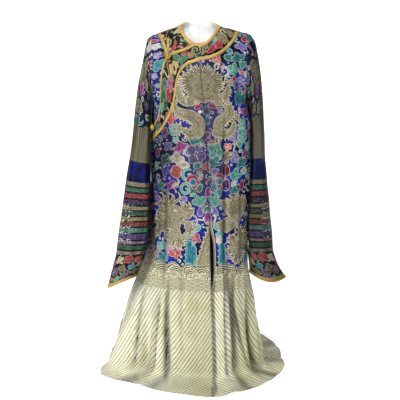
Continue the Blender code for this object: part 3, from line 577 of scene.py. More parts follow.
def area_of(grid):
    """Area of a grid of points."""
    a = grid[1:, :-1] - grid[:-1, :-1]
    b = grid[:-1, 1:] - grid[:-1, :-1]
    return float(np.linalg.norm(np.cross(a, b), axis=-1).sum())


# ------------------------------------------------------------------ silks of the pattern
def silk(hexa):
    c = np.array([int(hexa[i:i + 2], 16) for i in (0, 2, 4)]) / 255
    return np.where(c < 0.04045, c / 12.92, ((c + 0.055) / 1.055) ** 2.4)


SILKS = {k: silk(v) for k, v in {
    "white": "d9dccb", "cream": "d8cfa8", "mint": "62c3a2", "green": "1c8b66", "teal": "158a86",
    "deepteal": "0b5a5c", "turquoise": "2aa5b0", "lavender": "8a7ac8", "purple": "5e3fae", "mauve": "6f5a86",
    "plum": "5a1b6a", "magenta": "b02a92", "pink": "cf5c9a", "rose": "c4274a", "darkred": "7c1c2c",
    "coral": "dd5a3e", "orange": "dd6a22", "khaki": "7d7650", "navy": "141466", "gold": "8b8258",
}.items()}


# ------------------------------------------------------------------ drawn shapes
# each shape takes points in its own measure and gives how far inside they are (minus is
# outside) and the distance to the nearest line drawn inside it
def blobs(q, spec):
    """Round lobes run together, each with a line curling in from its edge."""
    d = np.stack([r - np.hypot(q[:, 0] - x, q[:, 1] - y) for x, y, r in spec])
    s = d.max(0)
    inner = np.full(len(q), 9.0)
    for (x, y, r), own in zip(spec, d):
        dx, dy = q[:, 0] - x, q[:, 1] - y
        way = np.arctan2(dy, dx) + 2.4 * x + 1.3 * y
        curl_in = np.abs(np.hypot(dx, dy) - r * (0.34 + 0.11 * ((way / math.pi + 1) % 2 - 1)))
        inner = np.where(own >= s - 1e-9, curl_in, inner)
    return s, inner


def strokes(q, points):
    """Tapered line through (x, y, half width) points."""
    p = np.asarray(points, float)
    best = np.full(len(q), -9.0)
    for a, b in zip(p[:-1], p[1:]):
        e = b[:2] - a[:2]
        t = np.clip(((q - a[:2]) @ e) / max(e @ e, 1e-12), 0, 1)
        d = np.hypot(*(q - a[:2] - t[:, None] * e).T)
        best = np.maximum(best, a[2] + (b[2] - a[2]) * t - d)
    return best


def curve(points, n=14):
    """Smooth line through points of any width."""
    p = np.asarray(points, float)
    t = np.concatenate([[0], np.cumsum(np.hypot(*np.diff(p[:, :2], axis=0).T))])
    out = []
    m = np.gradient(p, t, axis=0)
    for i in range(len(p) - 1):
        h = t[i + 1] - t[i]
        k = max(2, int(round(n * h / t[-1])))
        u = np.linspace(0, 1, k + 1)[:-1, None]
        out.append((2 * u**3 - 3 * u**2 + 1) * p[i] + (u**3 - 2 * u**2 + u) * h * m[i]
                   + (3 * u**2 - 2 * u**3) * p[i + 1] + (u**3 - u**2) * h * m[i + 1])
    return np.concatenate(out + [p[-1:]])


RUYI = [(-0.56, 0.02, 0.38), (0.0, 0.36, 0.46), (0.56, 0.02, 0.38), (0.0, -0.12, 0.34)]
RUYI_TAIL = curve([(0.0, -0.2, 0.26), (0.16, -0.60, 0.20), (0.52, -0.84, 0.12), (0.92, -0.80, 0.03)], 8)
PUFF = [(-0.42, 0.30, 0.42), (0.36, 0.42, 0.44), (0.56, -0.22, 0.36), (-0.10, -0.46, 0.42), (-0.66, -0.30, 0.28)]
CURL = curve([(-0.85, 0.30, 0.10), (-0.55, 0.62, 0.16), (-0.15, 0.30, 0.17), (0.12, -0.22, 0.17),
              (0.52, -0.55, 0.16), (0.85, -0.22, 0.10)], 14)
HOOK = curve([(0.75, 0.42, 0.12), (0.30, 0.74, 0.19), (-0.35, 0.60, 0.22), (-0.66, 0.0, 0.24), (-0.30, -0.58, 0.22),
              (0.32, -0.52, 0.20), (0.42, -0.05, 0.14), (0.08, 0.06, 0.09)], 18)
FLAME = curve([(-0.05, -0.95, 0.30), (0.22, -0.45, 0.40), (-0.18, 0.10, 0.34), (0.18, 0.55, 0.20), (0.0, 1.05, 0.03)], 12)


def ruyi(q):
    s, inner = blobs(q, RUYI)
    tail = strokes(q, RUYI_TAIL)
    return np.maximum(s, tail), inner


def puff(q):
    return blobs(q, PUFF)


def curl(q):
    s = strokes(q, CURL)
    return s, np.full(len(q), 9.0)


def hook(q):
    s = strokes(q, HOOK)
    return s, np.full(len(q), 9.0)


def flame(q):
    s = strokes(q, FLAME)
    line = strokes(q, FLAME * np.array([1, 1, 0.0]))
    return s, -line


def leaf(q):
    x, y = q[:, 0], q[:, 1]
    s = 0.62 - np.hypot(x * 0.62, y * (1.0 + 0.25 * x)) - 0.10 * np.abs(y)
    return s, np.abs(y) + 0.3 * (np.abs(x) > 0.6)


def oval(q):
    r = np.hypot(q[:, 0] * 0.72, q[:, 1])
    return 0.72 - r, np.abs(0.40 - r)


def round_(q):
    r = np.hypot(q[:, 0], q[:, 1])
    return 0.95 - r, np.minimum(np.abs(0.5 - r), np.abs(0.95 * 0.15 - r))


def flower(q):
    a = np.arctan2(q[:, 1], q[:, 0])
    r = np.hypot(q[:, 0], q[:, 1])
    return 0.80 + 0.14 * np.cos(5 * a) - r, np.minimum(np.abs(r - 0.34), 0.5 * r * np.abs(np.sin(2.5 * a)))


SHAPES = {"ruyi": ruyi, "puff": puff, "curl": curl, "hook": hook, "flame": flame, "leaf": leaf, "oval": oval,
          "round": round_, "flower": flower}


class Cloth:
    """The pattern on one panel: how far inside a motif each point lies, which silk is
    nearest, the distance to drawn lines, how much of it is gold thread and the ring measure."""

    def __init__(self, at):
        self.p = at[:, :2]
        n = len(at)
        self.sd = np.full(n, -0.03)
        self.tint = np.tile(SILKS["gold"], (n, 1))
        self.line = np.full(n, 0.03)
        self.gold = np.zeros(n)
        order = np.argsort(self.p[:, 1], kind="stable")
        self.order, self.sorted_v = order, self.p[order, 1]

    def near(self, u, v, reach):
        a, b = np.searchsorted(self.sorted_v, [v - reach, v + reach])
        idx = self.order[a:b]
        return idx[np.abs(self.p[idx, 0] - u) < reach]

    def lay(self, idx, s, inner, tint, gold=0.0, gap=0.0019, over=True):
        if not len(idx):
            return
        cur = self.sd[idx]
        s = np.clip(s, -0.03, 0.03)
        if over:
            rest = np.minimum(cur, -s - gap)
        else:
            # the new motif keeps clear of what is there
            s = np.minimum(s, -cur - gap)
            rest = cur
        wins = s > rest
        self.sd[idx] = np.maximum(s, rest)
        self.tint[idx] = np.where(wins[:, None], tint, self.tint[idx])
        self.line[idx] = np.where(wins, np.minimum(inner, 0.03), self.line[idx])
        self.gold[idx] = np.where(wins, gold, self.gold[idx])

    def motif(self, kind, u, v, size, tint, turn=0.0, flip=1, over=True, squash=1.0):
        reach = size * 1.5 + 0.008
        idx = self.near(u, v, reach)
        if not len(idx):
            return
        a = math.radians(turn)
        d = (self.p[idx] - (u, v)) * (flip, -1)
        q = np.stack([d[:, 0] * math.cos(a) + d[:, 1] * math.sin(a),
                      (-d[:, 0] * math.sin(a) + d[:, 1] * math.cos(a)) / squash], -1) / size
        if kind == "ring":
            r = np.hypot(q[:, 0], q[:, 1])
            self.lay(idx, (0.96 - r) * size, np.full(len(idx), 9.0), SILKS["rose"], over=over)
            self.lay(idx, (0.46 - r) * size, np.full(len(idx), 9.0), SILKS["turquoise"], gap=0.0)
            return
        s, inner = SHAPES[kind](q)
        self.lay(idx, s * size, inner * size, tint, over=over)

    def gold_shape(self, strokes_list, lines=(), blobs_list=(), tint=None, over=True, gap=0.0024, reach=None):
        """A shape in gold thread made of tapered lines and round parts, in cloth metres."""
        pts = np.concatenate([np.asarray(s, float)[:, :3] for s in strokes_list]
                             + ([np.asarray(blobs_list, float)] if len(blobs_list) else []))
        lo, hi = (pts[:, :2] - pts[:, 2:3]).min(0) - 0.01, (pts[:, :2] + pts[:, 2:3]).max(0) + 0.01
        a, b = np.searchsorted(self.sorted_v, [lo[1], hi[1]])
        idx = self.order[a:b]
        idx = idx[(self.p[idx, 0] > lo[0]) & (self.p[idx, 0] < hi[0])]
        if not len(idx):
            return
        q = self.p[idx]
        s = np.full(len(idx), -9.0)
        for st in strokes_list:
            s = np.maximum(s, strokes(q, st))
        for x, y, r in blobs_list:
            s = np.maximum(s, r - np.hypot(q[:, 0] - x, q[:, 1] - y))
        inner = np.full(len(idx), 9.0)
        for ln in lines:
            inner = np.minimum(inner, -strokes(q, np.asarray(ln, float)))
        self.lay(idx, s, inner, SILKS["gold"] if tint is None else tint, 1.0, gap, over)


# ------------------------------------------------------------------ the dragons and the rest
def cm(points, u0=0.0, v0=0.0, flip=1, size=1.0):
    p = np.asarray(points, float)
    out = p * 0.01 * size
    out[:, 0] = u0 + flip * out[:, 0]
    out[:, 1] = v0 + out[:, 1]
    return out


def spikes(line, side, every, length, half, lean=0.4):
    """Short spikes standing off one side of a line of points."""
    p = np.asarray(line, float)
    t = np.concatenate([[0], np.cumsum(np.hypot(*np.diff(p[:, :2], axis=0).T))])
    out = []
    for at in np.arange(every / 2, t[-1], every):
        x, y, r = (np.interp(at, t, p[:, i]) for i in range(3))
        x2, y2 = np.interp(at + 0.002, t, p[:, 0]), np.interp(at + 0.002, t, p[:, 1])
        d = np.array([x2 - x, y2 - y])
        d /= max(np.hypot(*d), 1e-9)
        n = np.array([-d[1], d[0]]) * side
        a = np.array([x, y]) + n * r * 0.7
        tip = np.array([x, y]) + n * (r + length) - d * length * lean
        out.append([(a[0], a[1], half), (tip[0], tip[1], 0.0002)])
    return out


def claw(u, v, size, way, toes=5, spread=75):
    out = []
    for k in range(toes):
        a = math.radians(way + spread * (k / (toes - 1) - 0.5) * 2)
        m = (u + 0.55 * size * math.sin(a), v - 0.55 * size * math.cos(a), 0.13 * size)
        b = math.radians(way + spread * 1.25 * (k / (toes - 1) - 0.5) * 2)
        out.append([(u, v, 0.26 * size), m, (u + size * math.sin(b), v - size * math.cos(b), 0.02 * size)])
    return out


def scales(line, every=0.0052, share=0.72):
    """Short arcs across a coil, as its scales."""
    p = np.asarray(line, float)
    t = np.concatenate([[0], np.cumsum(np.hypot(*np.diff(p[:, :2], axis=0).T))])
    out = []
    for at in np.arange(every, t[-1] - every / 2, every):
        x, y, r = (np.interp(at, t, p[:, i]) for i in range(3))
        x2, y2 = np.interp(at + 0.002, t, p[:, 0]), np.interp(at + 0.002, t, p[:, 1])
        d = np.array([x2 - x, y2 - y])
        d /= max(np.hypot(*d), 1e-9)
        n = np.array([-d[1], d[0]])
        w = r * share
        out.append([(x - n[0] * w - d[0] * 0.001, y - n[1] * w - d[1] * 0.001, 0), (x + d[0] * 0.0016, y + d[1] * 0.0016, 0),
                    (x + n[0] * w - d[0] * 0.001, y + n[1] * w - d[1] * 0.001, 0)])
    return out


def chest_dragon(cloth, u0=0.0, v0=0.0, size=1.0):
    """A dragon facing out, coiled round a pearl."""
    c = lambda pts: cm(pts, u0, v0, 1, size)
    k = 0.01 * size
    parts, lines, round_parts = [], [], []
    hu, hv = 0.2, 28.8
    # the mane: a broad fan of close rays about the head
    for i, way in enumerate(np.linspace(-124, 124, 33)):
        a = math.radians(way)
        reach = (7.3 + 0.55 * math.cos(2.4 * i)) * (1.0 if abs(way) < 96 else 0.88)
        bend = 0.10 * math.copysign(1, way) if way else 0
        wide = 1.18 if abs(way) > 45 else 1.0
        fan = lambda f, t: (hu + wide * f * reach * math.sin(a + t), hv - f * reach * math.cos(a + t))
        parts.append(c([(hu, hv, 2.4), (*fan(0.66, 0), 0.54), (*fan(0.86, bend), 0.42), (*fan(1.0, bend * 0.6), 0.16)]))
        mid = math.radians(124 / 32)
        inner = 0.50 + 0.08 * (i % 2)
        lines.append(c([(*fan(inner, mid), 0), (*fan(0.92, mid), 0)]))
    round_parts += [tuple(r) for r in c([(hu, hv, 4.0), (-3.2, 28.6, 2.6), (3.6, 28.6, 2.6), (0.3, 32.4, 2.9), (-3.1, 32.6, 1.9),
                                         (3.8, 32.6, 2.0), (-4.6, 34.6, 1.8), (5.4, 34.6, 1.8)])]
    # arms and coils
    arm_l = curve(c([(-1.6, 33.8, 1.6), (-4.8, 35.0, 1.6), (-7.7, 34.2, 1.6), (-9.0, 31.4, 1.3), (-8.6, 28.8, 0.9)]), 20)
    arm_r = curve(c([(3.0, 33.2, 1.7), (6.4, 34.0, 1.7), (8.8, 32.2, 1.4), (9.9, 29.8, 0.9)]), 16)
    coil_r = curve(c([(5.6, 34.0, 2.2), (8.7, 35.8, 1.9), (9.3, 38.6, 1.9), (7.4, 40.6, 1.9), (5.0, 42.2, 2.0),
                      (4.6, 45.4, 2.0)]), 30)
    coil_l = curve(c([(-11.0, 36.2, 0.5), (-10.2, 38.0, 1.5), (-7.8, 39.3, 1.9), (-4.6, 40.0, 2.1), (-2.6, 42.2, 2.3),
                      (-3.2, 45.4, 2.4)]), 30)
    leg_l = curve(c([(-3.2, 45.8, 1.5), (-6.0, 46.2, 1.5), (-8.4, 45.0, 1.0)]), 10)
    leg_r = curve(c([(3.4, 45.8, 1.5), (6.6, 46.4, 1.5), (9.4, 45.0, 1.2), (10.6, 42.4, 0.8)]), 14)
    for group, claws in ((((coil_r, (-1,)), (coil_l, (1,)), (leg_l, (1,)), (leg_r, (1,))),
                          ((-11.2, 35.8, 3.4, -30), (11.6, 40.6, 2.8, 60), (-9.4, 44.4, 3.0, -80), (-6.4, 46.2, 2.6, -130))),
                         (((arm_l, (1,)), (arm_r, (1,))), ((-8.7, 27.6, 2.5, -14), (10.4, 28.6, 2.5, 22)))):
        under, marks = [], []
        for line, ways in group:
            under.append(line)
            for way in ways:
                under += spikes(line, way, 0.0095 * size, 1.25 * k, 0.34 * k)
            # a line down the belly
            marks.append([(x, y + 0.30 * r, 0) for x, y, r in line])
        for u, v, r, way in claws:
            under += claw(u0 + u * k, v0 + v * k, r * k, way)
        cloth.gold_shape(under, marks)
    # brow, nose and jaw, small against the mane
    for s in (-1, 1):
        lines += [curve(c([(hu + s * 0.5, 29.5, 0), (hu + s * 1.5, 28.7, 0), (hu + s * 2.7, 29.4, 0)]), 8),
                  curve(c([(hu + s * 0.3, 33.9, 0), (hu + s * 1.8, 33.7, 0), (hu + s * 3.2, 32.6, 0)]), 8)]
        eye = [(hu + s * 1.6 + 0.5 * math.cos(t), 30.4 + 0.4 * math.sin(t), 0) for t in np.linspace(0, 2 * math.pi, 9)]
        lines.append(c(eye))
    cloth.gold_shape(parts, lines, round_parts)
    # the pearl, with its flames
    m = lambda kind, u, v, s, tint, turn=0, **kw: cloth.motif(kind, u0 + u * k, v0 + v * k, s * k, SILKS[tint], turn, **kw)
    m("leaf", -2.0, 36.6, 1.7, "rose", 20, squash=0.8)
    m("leaf", 3.1, 36.4, 1.8, "rose", -15, squash=0.8)
    m("oval", 0.7, 38.2, 1.9, "deepteal", 90)
    m("leaf", 0.7, 41.4, 1.6, "teal", 88)
    m("puff", 5.8, 38.0, 1.5, "mauve", 80)


def tuft(u, v, reach, count, start, end, root=1.1, wave=0.30, step_=1.9, least=0.74):
    """Locks streaming out from one point, bending to and fro."""
    out, gaps = [], []
    for i in range(count):
        a = math.radians(start + (end - start) * (i + 0.5) / count)
        r = reach * (least + (1 - least) * (0.5 + 0.5 * math.cos(step_ * i)))
        at = lambda f, t: (u + f * r * math.sin(a + t), v - f * r * math.cos(a + t))
        w = wave * (1 if i % 2 else 0.6)
        out.append(curve([(u, v, root), (*at(0.40, 0), 0.17 * root + 0.42), (*at(0.72, w), 0.46), (*at(0.90, w * 0.9), 0.32), (*at(1.0, w * 0.2), 0.10)], 8))
        b = a + math.radians((end - start) / count / 2)
        gaps.append(curve([(u + 0.42 * r * math.sin(b), v - 0.42 * r * math.cos(b), 0), (u + 0.60 * r * math.sin(b + w * 0.5), v - 0.60 * r * math.cos(b + w * 0.5), 0),
                           (u + 0.88 * r * math.sin(b + w), v - 0.88 * r * math.cos(b + w), 0)], 6))
    return out, gaps


def side_dragon(cloth, u0, v0, flip, size=1.0):
    """A dragon seen from the side, looking to the centre seam, its mane and fins in streaming locks."""
    c = lambda pts: cm(pts, u0, v0, flip, size)
    k = 0.01 * size
    parts, lines, blobs_ = [], [], []
    for spec in ((-2.6, 0.6, 8.6, 14, -128, 30), (-0.6, 8.4, 7.0, 13, 96, 270), (-5.6, 5.2, 5.4, 8, 200, 320),
                 (4.4, 5.6, 4.0, 6, 60, 180), (-10.6, 10.4, 3.8, 7, 170, 350), (3.8, 0.2, 4.2, 6, -40, 60)):
        a, b = tuft(*spec)
        parts += [c(p) for p in a]
        lines += [c(p) for p in b]
    # head (origin at the eye), looking towards +u
    blobs_ += [tuple(r) for r in c([(0.2, 0.2, 2.3), (2.6, 1.0, 1.9), (4.8, 1.2, 1.6), (-2.4, 1.4, 2.8), (-0.6, 5.0, 2.6), (-3.6, 4.6, 2.6),
                                    (-0.4, 8.2, 2.4), (-6.8, 6.6, 1.9), (-8.8, 8.8, 1.6), (-10.4, 10.4, 1.3)])]
    parts += [c([(4.8, 0.6, 1.1), (6.4, 0.0, 0.95), (7.1, -1.2, 0.4)]),
              curve(c([(1.0, 3.0, 1.0), (3.6, 4.0, 0.9), (6.0, 4.0, 0.6), (7.1, 3.2, 0.2)]), 8),
              curve(c([(6.2, 0.8, 0.4), (8.0, 2.0, 0.3), (8.3, 4.0, 0.22), (7.4, 5.4, 0.1)]), 8)]
    parts += [np.array(s) for s in claw(u0 + flip * -11.0 * k, v0 + 11.2 * k, 3.0 * k, -75 * flip)]
    parts += [np.array(s) for s in claw(u0 + flip * 1.2 * k, v0 + 11.4 * k, 3.2 * k, 160 * flip)]
    for r in (0.9,):
        lines.append(c([(r * math.cos(t), 0.9 * r * math.sin(t), 0) for t in np.linspace(0, 2 * math.pi, 13)]))
    lines += [curve(c([(-1.8, -1.6, 0), (0.4, -2.2, 0), (2.4, -1.2, 0), (5.0, -0.4, 0)]), 8),
              curve(c([(1.4, 2.6, 0), (4.0, 2.6, 0), (6.4, 1.6, 0)]), 8), curve(c([(-2.8, -0.8, 0), (-3.3, 1.4, 0), (-2.2, 3.2, 0)]), 8)]
    lines += scales(curve(c([(-1.4, 4.0, 2.2), (-4.4, 5.0, 2.4), (-7.0, 6.4, 2.0), (-9.4, 9.0, 1.4)]), 20), 0.0075 * size)
    cloth.gold_shape(parts, lines, blobs_)
    eye = c([(0.0, 0.0, 0.0)])[0]
    cloth.motif("oval", eye[0], eye[1], 0.52 * k, SILKS["white"], 0)


def shell(cloth, u, v, reach, start, end, count=13):
    """A fin spread like a fan, its ribs running to a toothed edge."""
    locks, ribs = tuft(0, 0, reach, count, start, end, 0.8, 0.10, 2.2, 0.88)
    wide = [np.asarray(p) + np.sin(np.linspace(0, 1, len(p)) * 2.6)[:, None] * (0, 0, 0.50) for p in locks]
    cloth.gold_shape([cm(p, u, v) for p in wide], [cm(p, u, v) for p in ribs])


def mountain(cloth, u0, v_top, v_foot, half_top, half_foot, tint="gold", teeth=7, sides=(-1, 1)):
    """A steep rock with a toothed edge, drawn in gold thread."""
    parts = [[(u0, v_top + half_top, half_top), (u0, v_foot, half_foot)]]
    if len(sides) == 1:
        parts = [[(u0 + sides[0] * f * half_foot, v_top + f * (v_foot - v_top) * 0.92 + half_top, 0.006), (u0 + sides[0] * f * half_foot, v_foot, 0.008)]
                 for f in np.linspace(0, 0.92, 9)]
    for i in range(teeth):
        t = (i + 0.4) / teeth
        v = v_top + (v_foot - v_top) * t
        r = half_top + (half_foot - half_top) * t
        for s in sides:
            parts.append([(u0 + s * r * 0.8, v + 0.003, 0.0046), (u0 + s * (r + 0.0070), v - 0.004, 0.0012)])
    lines = [[(u0 + s * half_foot * 0.96, v_foot - 0.004, 0), (u0 + s * half_top * 0.5, v_top + 0.03, 0)] for s in sides]
    cloth.gold_shape(parts, lines, tint=SILKS[tint])


def rock(cloth, u0, v_top, v_foot, half, tint, teeth=5):
    parts = [[(u0 - half * 0.15, v_top + half * 0.5, half * 0.5), (u0, v_foot, half)], [(u0 + half * 0.45, v_top + half * 1.1, half * 0.4), (u0 + half * 0.3, v_foot, half * 0.8)]]
    for i in range(teeth):
        v = v_top + (v_foot - v_top) * (i + 0.5) / teeth
        r = half * (0.55 + 0.45 * (i + 0.5) / teeth)
        for s in (-1, 1):
            parts.append([(u0 + s * r * 0.8, v + 0.002, 0.0040), (u0 + s * (r + 0.0065), v - 0.003, 0.0014)])
    lines = [[(u0 + w * half, v_foot, 0), (u0 + 0.6 * w * half, v_top + 0.012 + abs(w) * 0.012, 0)] for w in (-0.62, -0.2, 0.2, 0.62)]
    pts = np.concatenate([np.asarray(s, float) for s in parts])
    lo, hi = (pts[:, :2] - pts[:, 2:3]).min(0) - 0.01, (pts[:, :2] + pts[:, 2:3]).max(0) + 0.01
    idx = np.nonzero(((cloth.p > lo) & (cloth.p < hi)).all(1))[0]
    if not len(idx):
        return
    s = np.max([strokes(cloth.p[idx], st) for st in parts], axis=0)
    inner = np.min([-strokes(cloth.p[idx], ln) for ln in lines], axis=0)
    cloth.lay(idx, s, inner, SILKS[tint], 0.3)

# ------------------------------------------------------------------ clouds on the front
# across and down in cm from the centre seam and the shoulder line, kind, size in cm, silk, turn
CLOUDS = [
    (-16.5, 12, "puff", 1.6, "white", 0), (-16, 16.5, "puff", 1.4, "lavender", 0),
    (-14, 16.5, "leaf", 1, "plum", 30), (-15.5, 21, "ruyi", 2.5, "turquoise", 40),
    (-18, 25, "puff", 1.2, "lavender", 0), (-19.5, 30, "leaf", 1.4, "navy", 60),
    (-12.5, 21, "curl", 1.2, "white", 20), (17, 8.5, "leaf", 1.7, "rose", 70),
    (15.5, 13.5, "ruyi", 2.1, "lavender", 10), (18, 15.5, "curl", 1.2, "white", 80),
    (11, 19, "leaf", 1.7, "teal", -10), (14.5, 18.5, "ruyi", 2.3, "teal", 25),
    (16.5, 21, "ruyi", 1.6, "teal", 60), (6, 20, "puff", 1.4, "coral", 0),
    (7.5, 22, "oval", 1.2, "rose", 0), (6, 22.5, "hook", 1, "white", 0),
    (9, 24, "hook", 1.7, "white", 200), (12.5, 23, "puff", 2, "mint", 20),
    (16, 24, "oval", 0.9, "orange", 0), (18, 24, "leaf", 1.4, "white", 60),
    (12.5, 26.5, "oval", 1, "rose", 0), (15.5, 27, "ruyi", 1.5, "lavender", 0),
    (14, 29, "ruyi", 1.6, "purple", 30), (10, 27, "hook", 1.2, "white", 0),
    (18, 28, "ruyi", 2, "teal", 90), (18, 28.5, "flame", 1.3, "magenta", 90),
    (17, 31.5, "flame", 1.5, "coral", 80), (15, 33.5, "ruyi", 2.4, "teal", 95),
    (19.5, 34, "ruyi", 1.9, "mint", 80), (14, 38, "leaf", 1.1, "cream", 80),
    (16.5, 38.5, "flame", 2.1, "magenta", 85), (22, 41, "leaf", 1.8, "white", 90),
    (11, 40, "puff", 1.6, "white", 0), (10.5, 41.5, "leaf", 1.2, "teal", 60),
    (14, 43, "puff", 1.9, "mint", 60), (22, 44.5, "hook", 1.1, "orange", 0),
    (-9, 30.5, "leaf", 1.1, "magenta", 60), (-5, 25, "leaf", 1.2, "pink", 50),
    (-4, 23, "leaf", 0.9, "green", 40), (-3, 29, "leaf", 1.2, "mauve", 60),
    (-13, 41, "ruyi", 2.3, "coral", 90), (-12, 36.5, "leaf", 0.9, "lavender", 80),
    (-12, 45, "puff", 1.9, "mint", 100), (-16, 46, "ruyi", 1.7, "plum", 70),
    (-7.5, 48, "leaf", 1.2, "teal", 10), (-4, 48.5, "ruyi", 2.6, "green", 160),
    (-11.5, 48.5, "puff", 1.2, "mint", 0), (-15, 51, "ruyi", 1.7, "purple", 40),
    (-9.5, 51.5, "ruyi", 2.6, "magenta", 20), (-7, 53, "hook", 1.2, "mint", 90),
    (-4, 53.5, "puff", 3.1, "mauve", 90), (-11.5, 55.5, "ruyi", 2.6, "cream", 0),
    (-8.5, 57.5, "oval", 1.6, "cream", 0), (-16.5, 56, "ruyi", 2.2, "deepteal", 60),
    (-22, 58.5, "puff", 1.6, "mint", 0), (-20.5, 53.5, "leaf", 1.4, "darkred", 80),
    (-12, 60, "round", 1.9, "coral", 0), (-16.5, 60, "ruyi", 1.9, "purple", 70),
    (-7.5, 61, "hook", 2.1, "mint", 30), (-3.5, 57.5, "leaf", 1.4, "green", 20),
    (-3, 60, "puff", 1, "mauve", 0), (0, 58, "ruyi", 1.9, "orange", 0),
    (-5.5, 63.5, "ring", 2.2, "rose", 0), (4, 63, "ring", 2.2, "rose", 0),
    (-2.5, 61.5, "leaf", 1, "cream", 60), (2, 61.5, "leaf", 1, "cream", 120),
    (-6, 67, "leaf", 1.6, "green", 120), (-3, 65.5, "leaf", 1.4, "green", 60),
    (2, 65, "leaf", 1.3, "turquoise", 120), (3.5, 67.5, "leaf", 1.6, "turquoise", 60),
    (0, 67, "leaf", 1.6, "magenta", 90), (-3.5, 70, "ruyi", 2.3, "mint", 200),
    (2.5, 70, "ruyi", 2.3, "mint", 160), (-14.5, 65, "flame", 2.2, "magenta", 95),
    (-12, 64.5, "curl", 1.6, "cream", 90), (-8.5, 66, "hook", 1.9, "mint", 10),
    (-19.5, 66, "ruyi", 1.9, "teal", 30), (-21, 63, "hook", 1.4, "cream", 0),
    (-23.5, 69.5, "ruyi", 1.9, "purple", 20), (0.5, 47.5, "leaf", 1.4, "magenta", 90),
    (3, 46.5, "oval", 1.3, "mint", 0), (3.5, 49, "puff", 1.7, "orange", 45),
    (-1.5, 50, "leaf", 0.8, "cream", 0), (1, 50, "leaf", 0.8, "cream", 0),
    (3, 52.5, "puff", 2.6, "mint", 90), (2.5, 56.5, "ruyi", 2.1, "teal", 60),
    (2.5, 59.5, "leaf", 1.3, "lavender", 30), (10, 46.5, "puff", 2.3, "purple", 70),
    (11, 49.5, "oval", 0.9, "rose", 0), (14, 47, "puff", 2.2, "mint", 80),
    (19.5, 48, "hook", 1.6, "orange", 70), (12.5, 50, "round", 1.1, "mint", 0),
    (17, 51, "puff", 1.6, "mint", 0), (10, 51.5, "curl", 1.6, "white", 130),
    (15, 53.5, "leaf", 1.5, "magenta", 60), (10, 54.5, "puff", 1.9, "lavender", 90),
    (7, 54.5, "ruyi", 1.9, "khaki", 80), (13.5, 57, "ruyi", 2.2, "teal", 30),
    (14.5, 60, "oval", 1.4, "cream", 0), (6.5, 59, "leaf", 1.9, "darkred", 90),
    (10.5, 61.5, "ruyi", 2.5, "mint", 80), (6.5, 64.5, "leaf", 1.8, "plum", 80),
    (9.5, 64.5, "puff", 1.2, "white", 0), (10, 67, "ruyi", 1.9, "teal", 0),
    (13.5, 65, "leaf", 1.6, "rose", 85), (10.5, 70.5, "hook", 1.2, "cream", 0),
    (-1, 71.5, "leaf", 0.9, "darkred", 90), (0.5, 72, "leaf", 0.9, "darkred", 90),
    (-3, 74, "leaf", 1.6, "lavender", 70), (2, 74, "leaf", 1.5, "lavender", 110),
    (-0.5, 73.5, "round", 1.2, "green", 0), (-0.5, 76.5, "leaf", 1.9, "magenta", 90),
    (-3.5, 77, "curl", 1.4, "white", 50), (2, 77, "curl", 1.4, "white", 130),
    (-9.5, 79, "leaf", 2, "magenta", 5), (-5.5, 80, "oval", 1.9, "mint", 10),
    (3.5, 79.5, "oval", 1.8, "mint", -10), (11, 79, "round", 1.1, "rose", 0),
    (14, 76.5, "leaf", 1.4, "magenta", 70), (15.5, 80, "leaf", 1.2, "teal", 60),
    (-21.5, 78, "ruyi", 1.7, "magenta", 30), (-26, 74, "puff", 1.4, "white", 0),
    (-7.5, 82, "ruyi", 1.9, "mint", 20), (-9.5, 84, "oval", 1.7, "mint", 10),
    (-5.5, 84, "puff", 1.8, "rose", 0), (3.5, 82.5, "ruyi", 1.5, "mint", 0),
    (3, 84.5, "puff", 1.3, "cream", 0), (-20, 88, "puff", 1.6, "mint", 0),
    (-29, 93, "ruyi", 1.9, "turquoise", 80), (-28, 88, "leaf", 1.4, "turquoise", 80),
    (-16.5, 88.5, "puff", 1.6, "lavender", 60), (-13.5, 89, "puff", 2.3, "coral", 80),
    (-21, 91.5, "ruyi", 2.1, "magenta", 10), (-17, 92, "leaf", 1.2, "turquoise", 60),
    (9.5, 89, "oval", 1.6, "green", 0), (11, 92, "ruyi", 1.9, "magenta", 0),
    (7, 91, "leaf", 1.4, "magenta", 0), (16, 94, "leaf", 1.2, "turquoise", 60),
    (-25, 84, "leaf", 1.4, "rose", 30),
]

FILL = ["mint"] * 5 + ["teal"] * 4 + ["magenta"] * 4 + ["purple"] * 3 + ["lavender"] * 3 + ["turquoise"] * 3 + ["rose"] * 3 \
    + ["coral"] * 3 + ["cream"] * 3 + ["white"] * 2 + ["green"] * 2 + ["khaki"]
FILL_KINDS = ["ruyi"] * 6 + ["puff"] * 3 + ["leaf"] * 2 + ["hook"] * 5 + ["oval", "round", "flame", "curl", "flower"]


def scatter(cloth, seed, u0, u1, v0, v1, pitch=0.040, colours=FILL, least=0.006, most=0.023):
    """Clouds and small shapes fitted into the ground that is still free."""
    rng = np.random.default_rng(seed)
    k = 0
    for v in np.arange(v0, v1, pitch * 0.8):
        k += 1
        for u in np.arange(u0 + (k % 2) * pitch / 2, u1, pitch):
            uu, vv = u + rng.uniform(-0.28, 0.28) * pitch, v + rng.uniform(-0.28, 0.28) * pitch
            kind, tint = FILL_KINDS[rng.integers(len(FILL_KINDS))], colours[rng.integers(len(colours))]
            size, turn, flip = rng.uniform(0.44, 0.66) * pitch, rng.uniform(-50, 50), rng.choice((-1, 1))
            idx = cloth.near(uu, vv, 0.004)
            if not len(idx):
                continue
            free = -cloth.sd[idx].max()
            if free < least:
                continue
            size = min(size, free * 1.30, most)
            cloth.motif(kind, uu, vv, size, SILKS[tint], turn, flip, over=False)


def clear(cloth, u, v, ru, rv):
    """Bare ground round a large figure."""
    q = (cloth.p - (u, v)) / (ru, rv)
    s = (1 - np.hypot(q[:, 0], q[:, 1])) * min(ru, rv)
    idx = np.nonzero(s > -0.03)[0]
    cloth.sd[idx] = np.minimum(cloth.sd[idx], -s[idx])


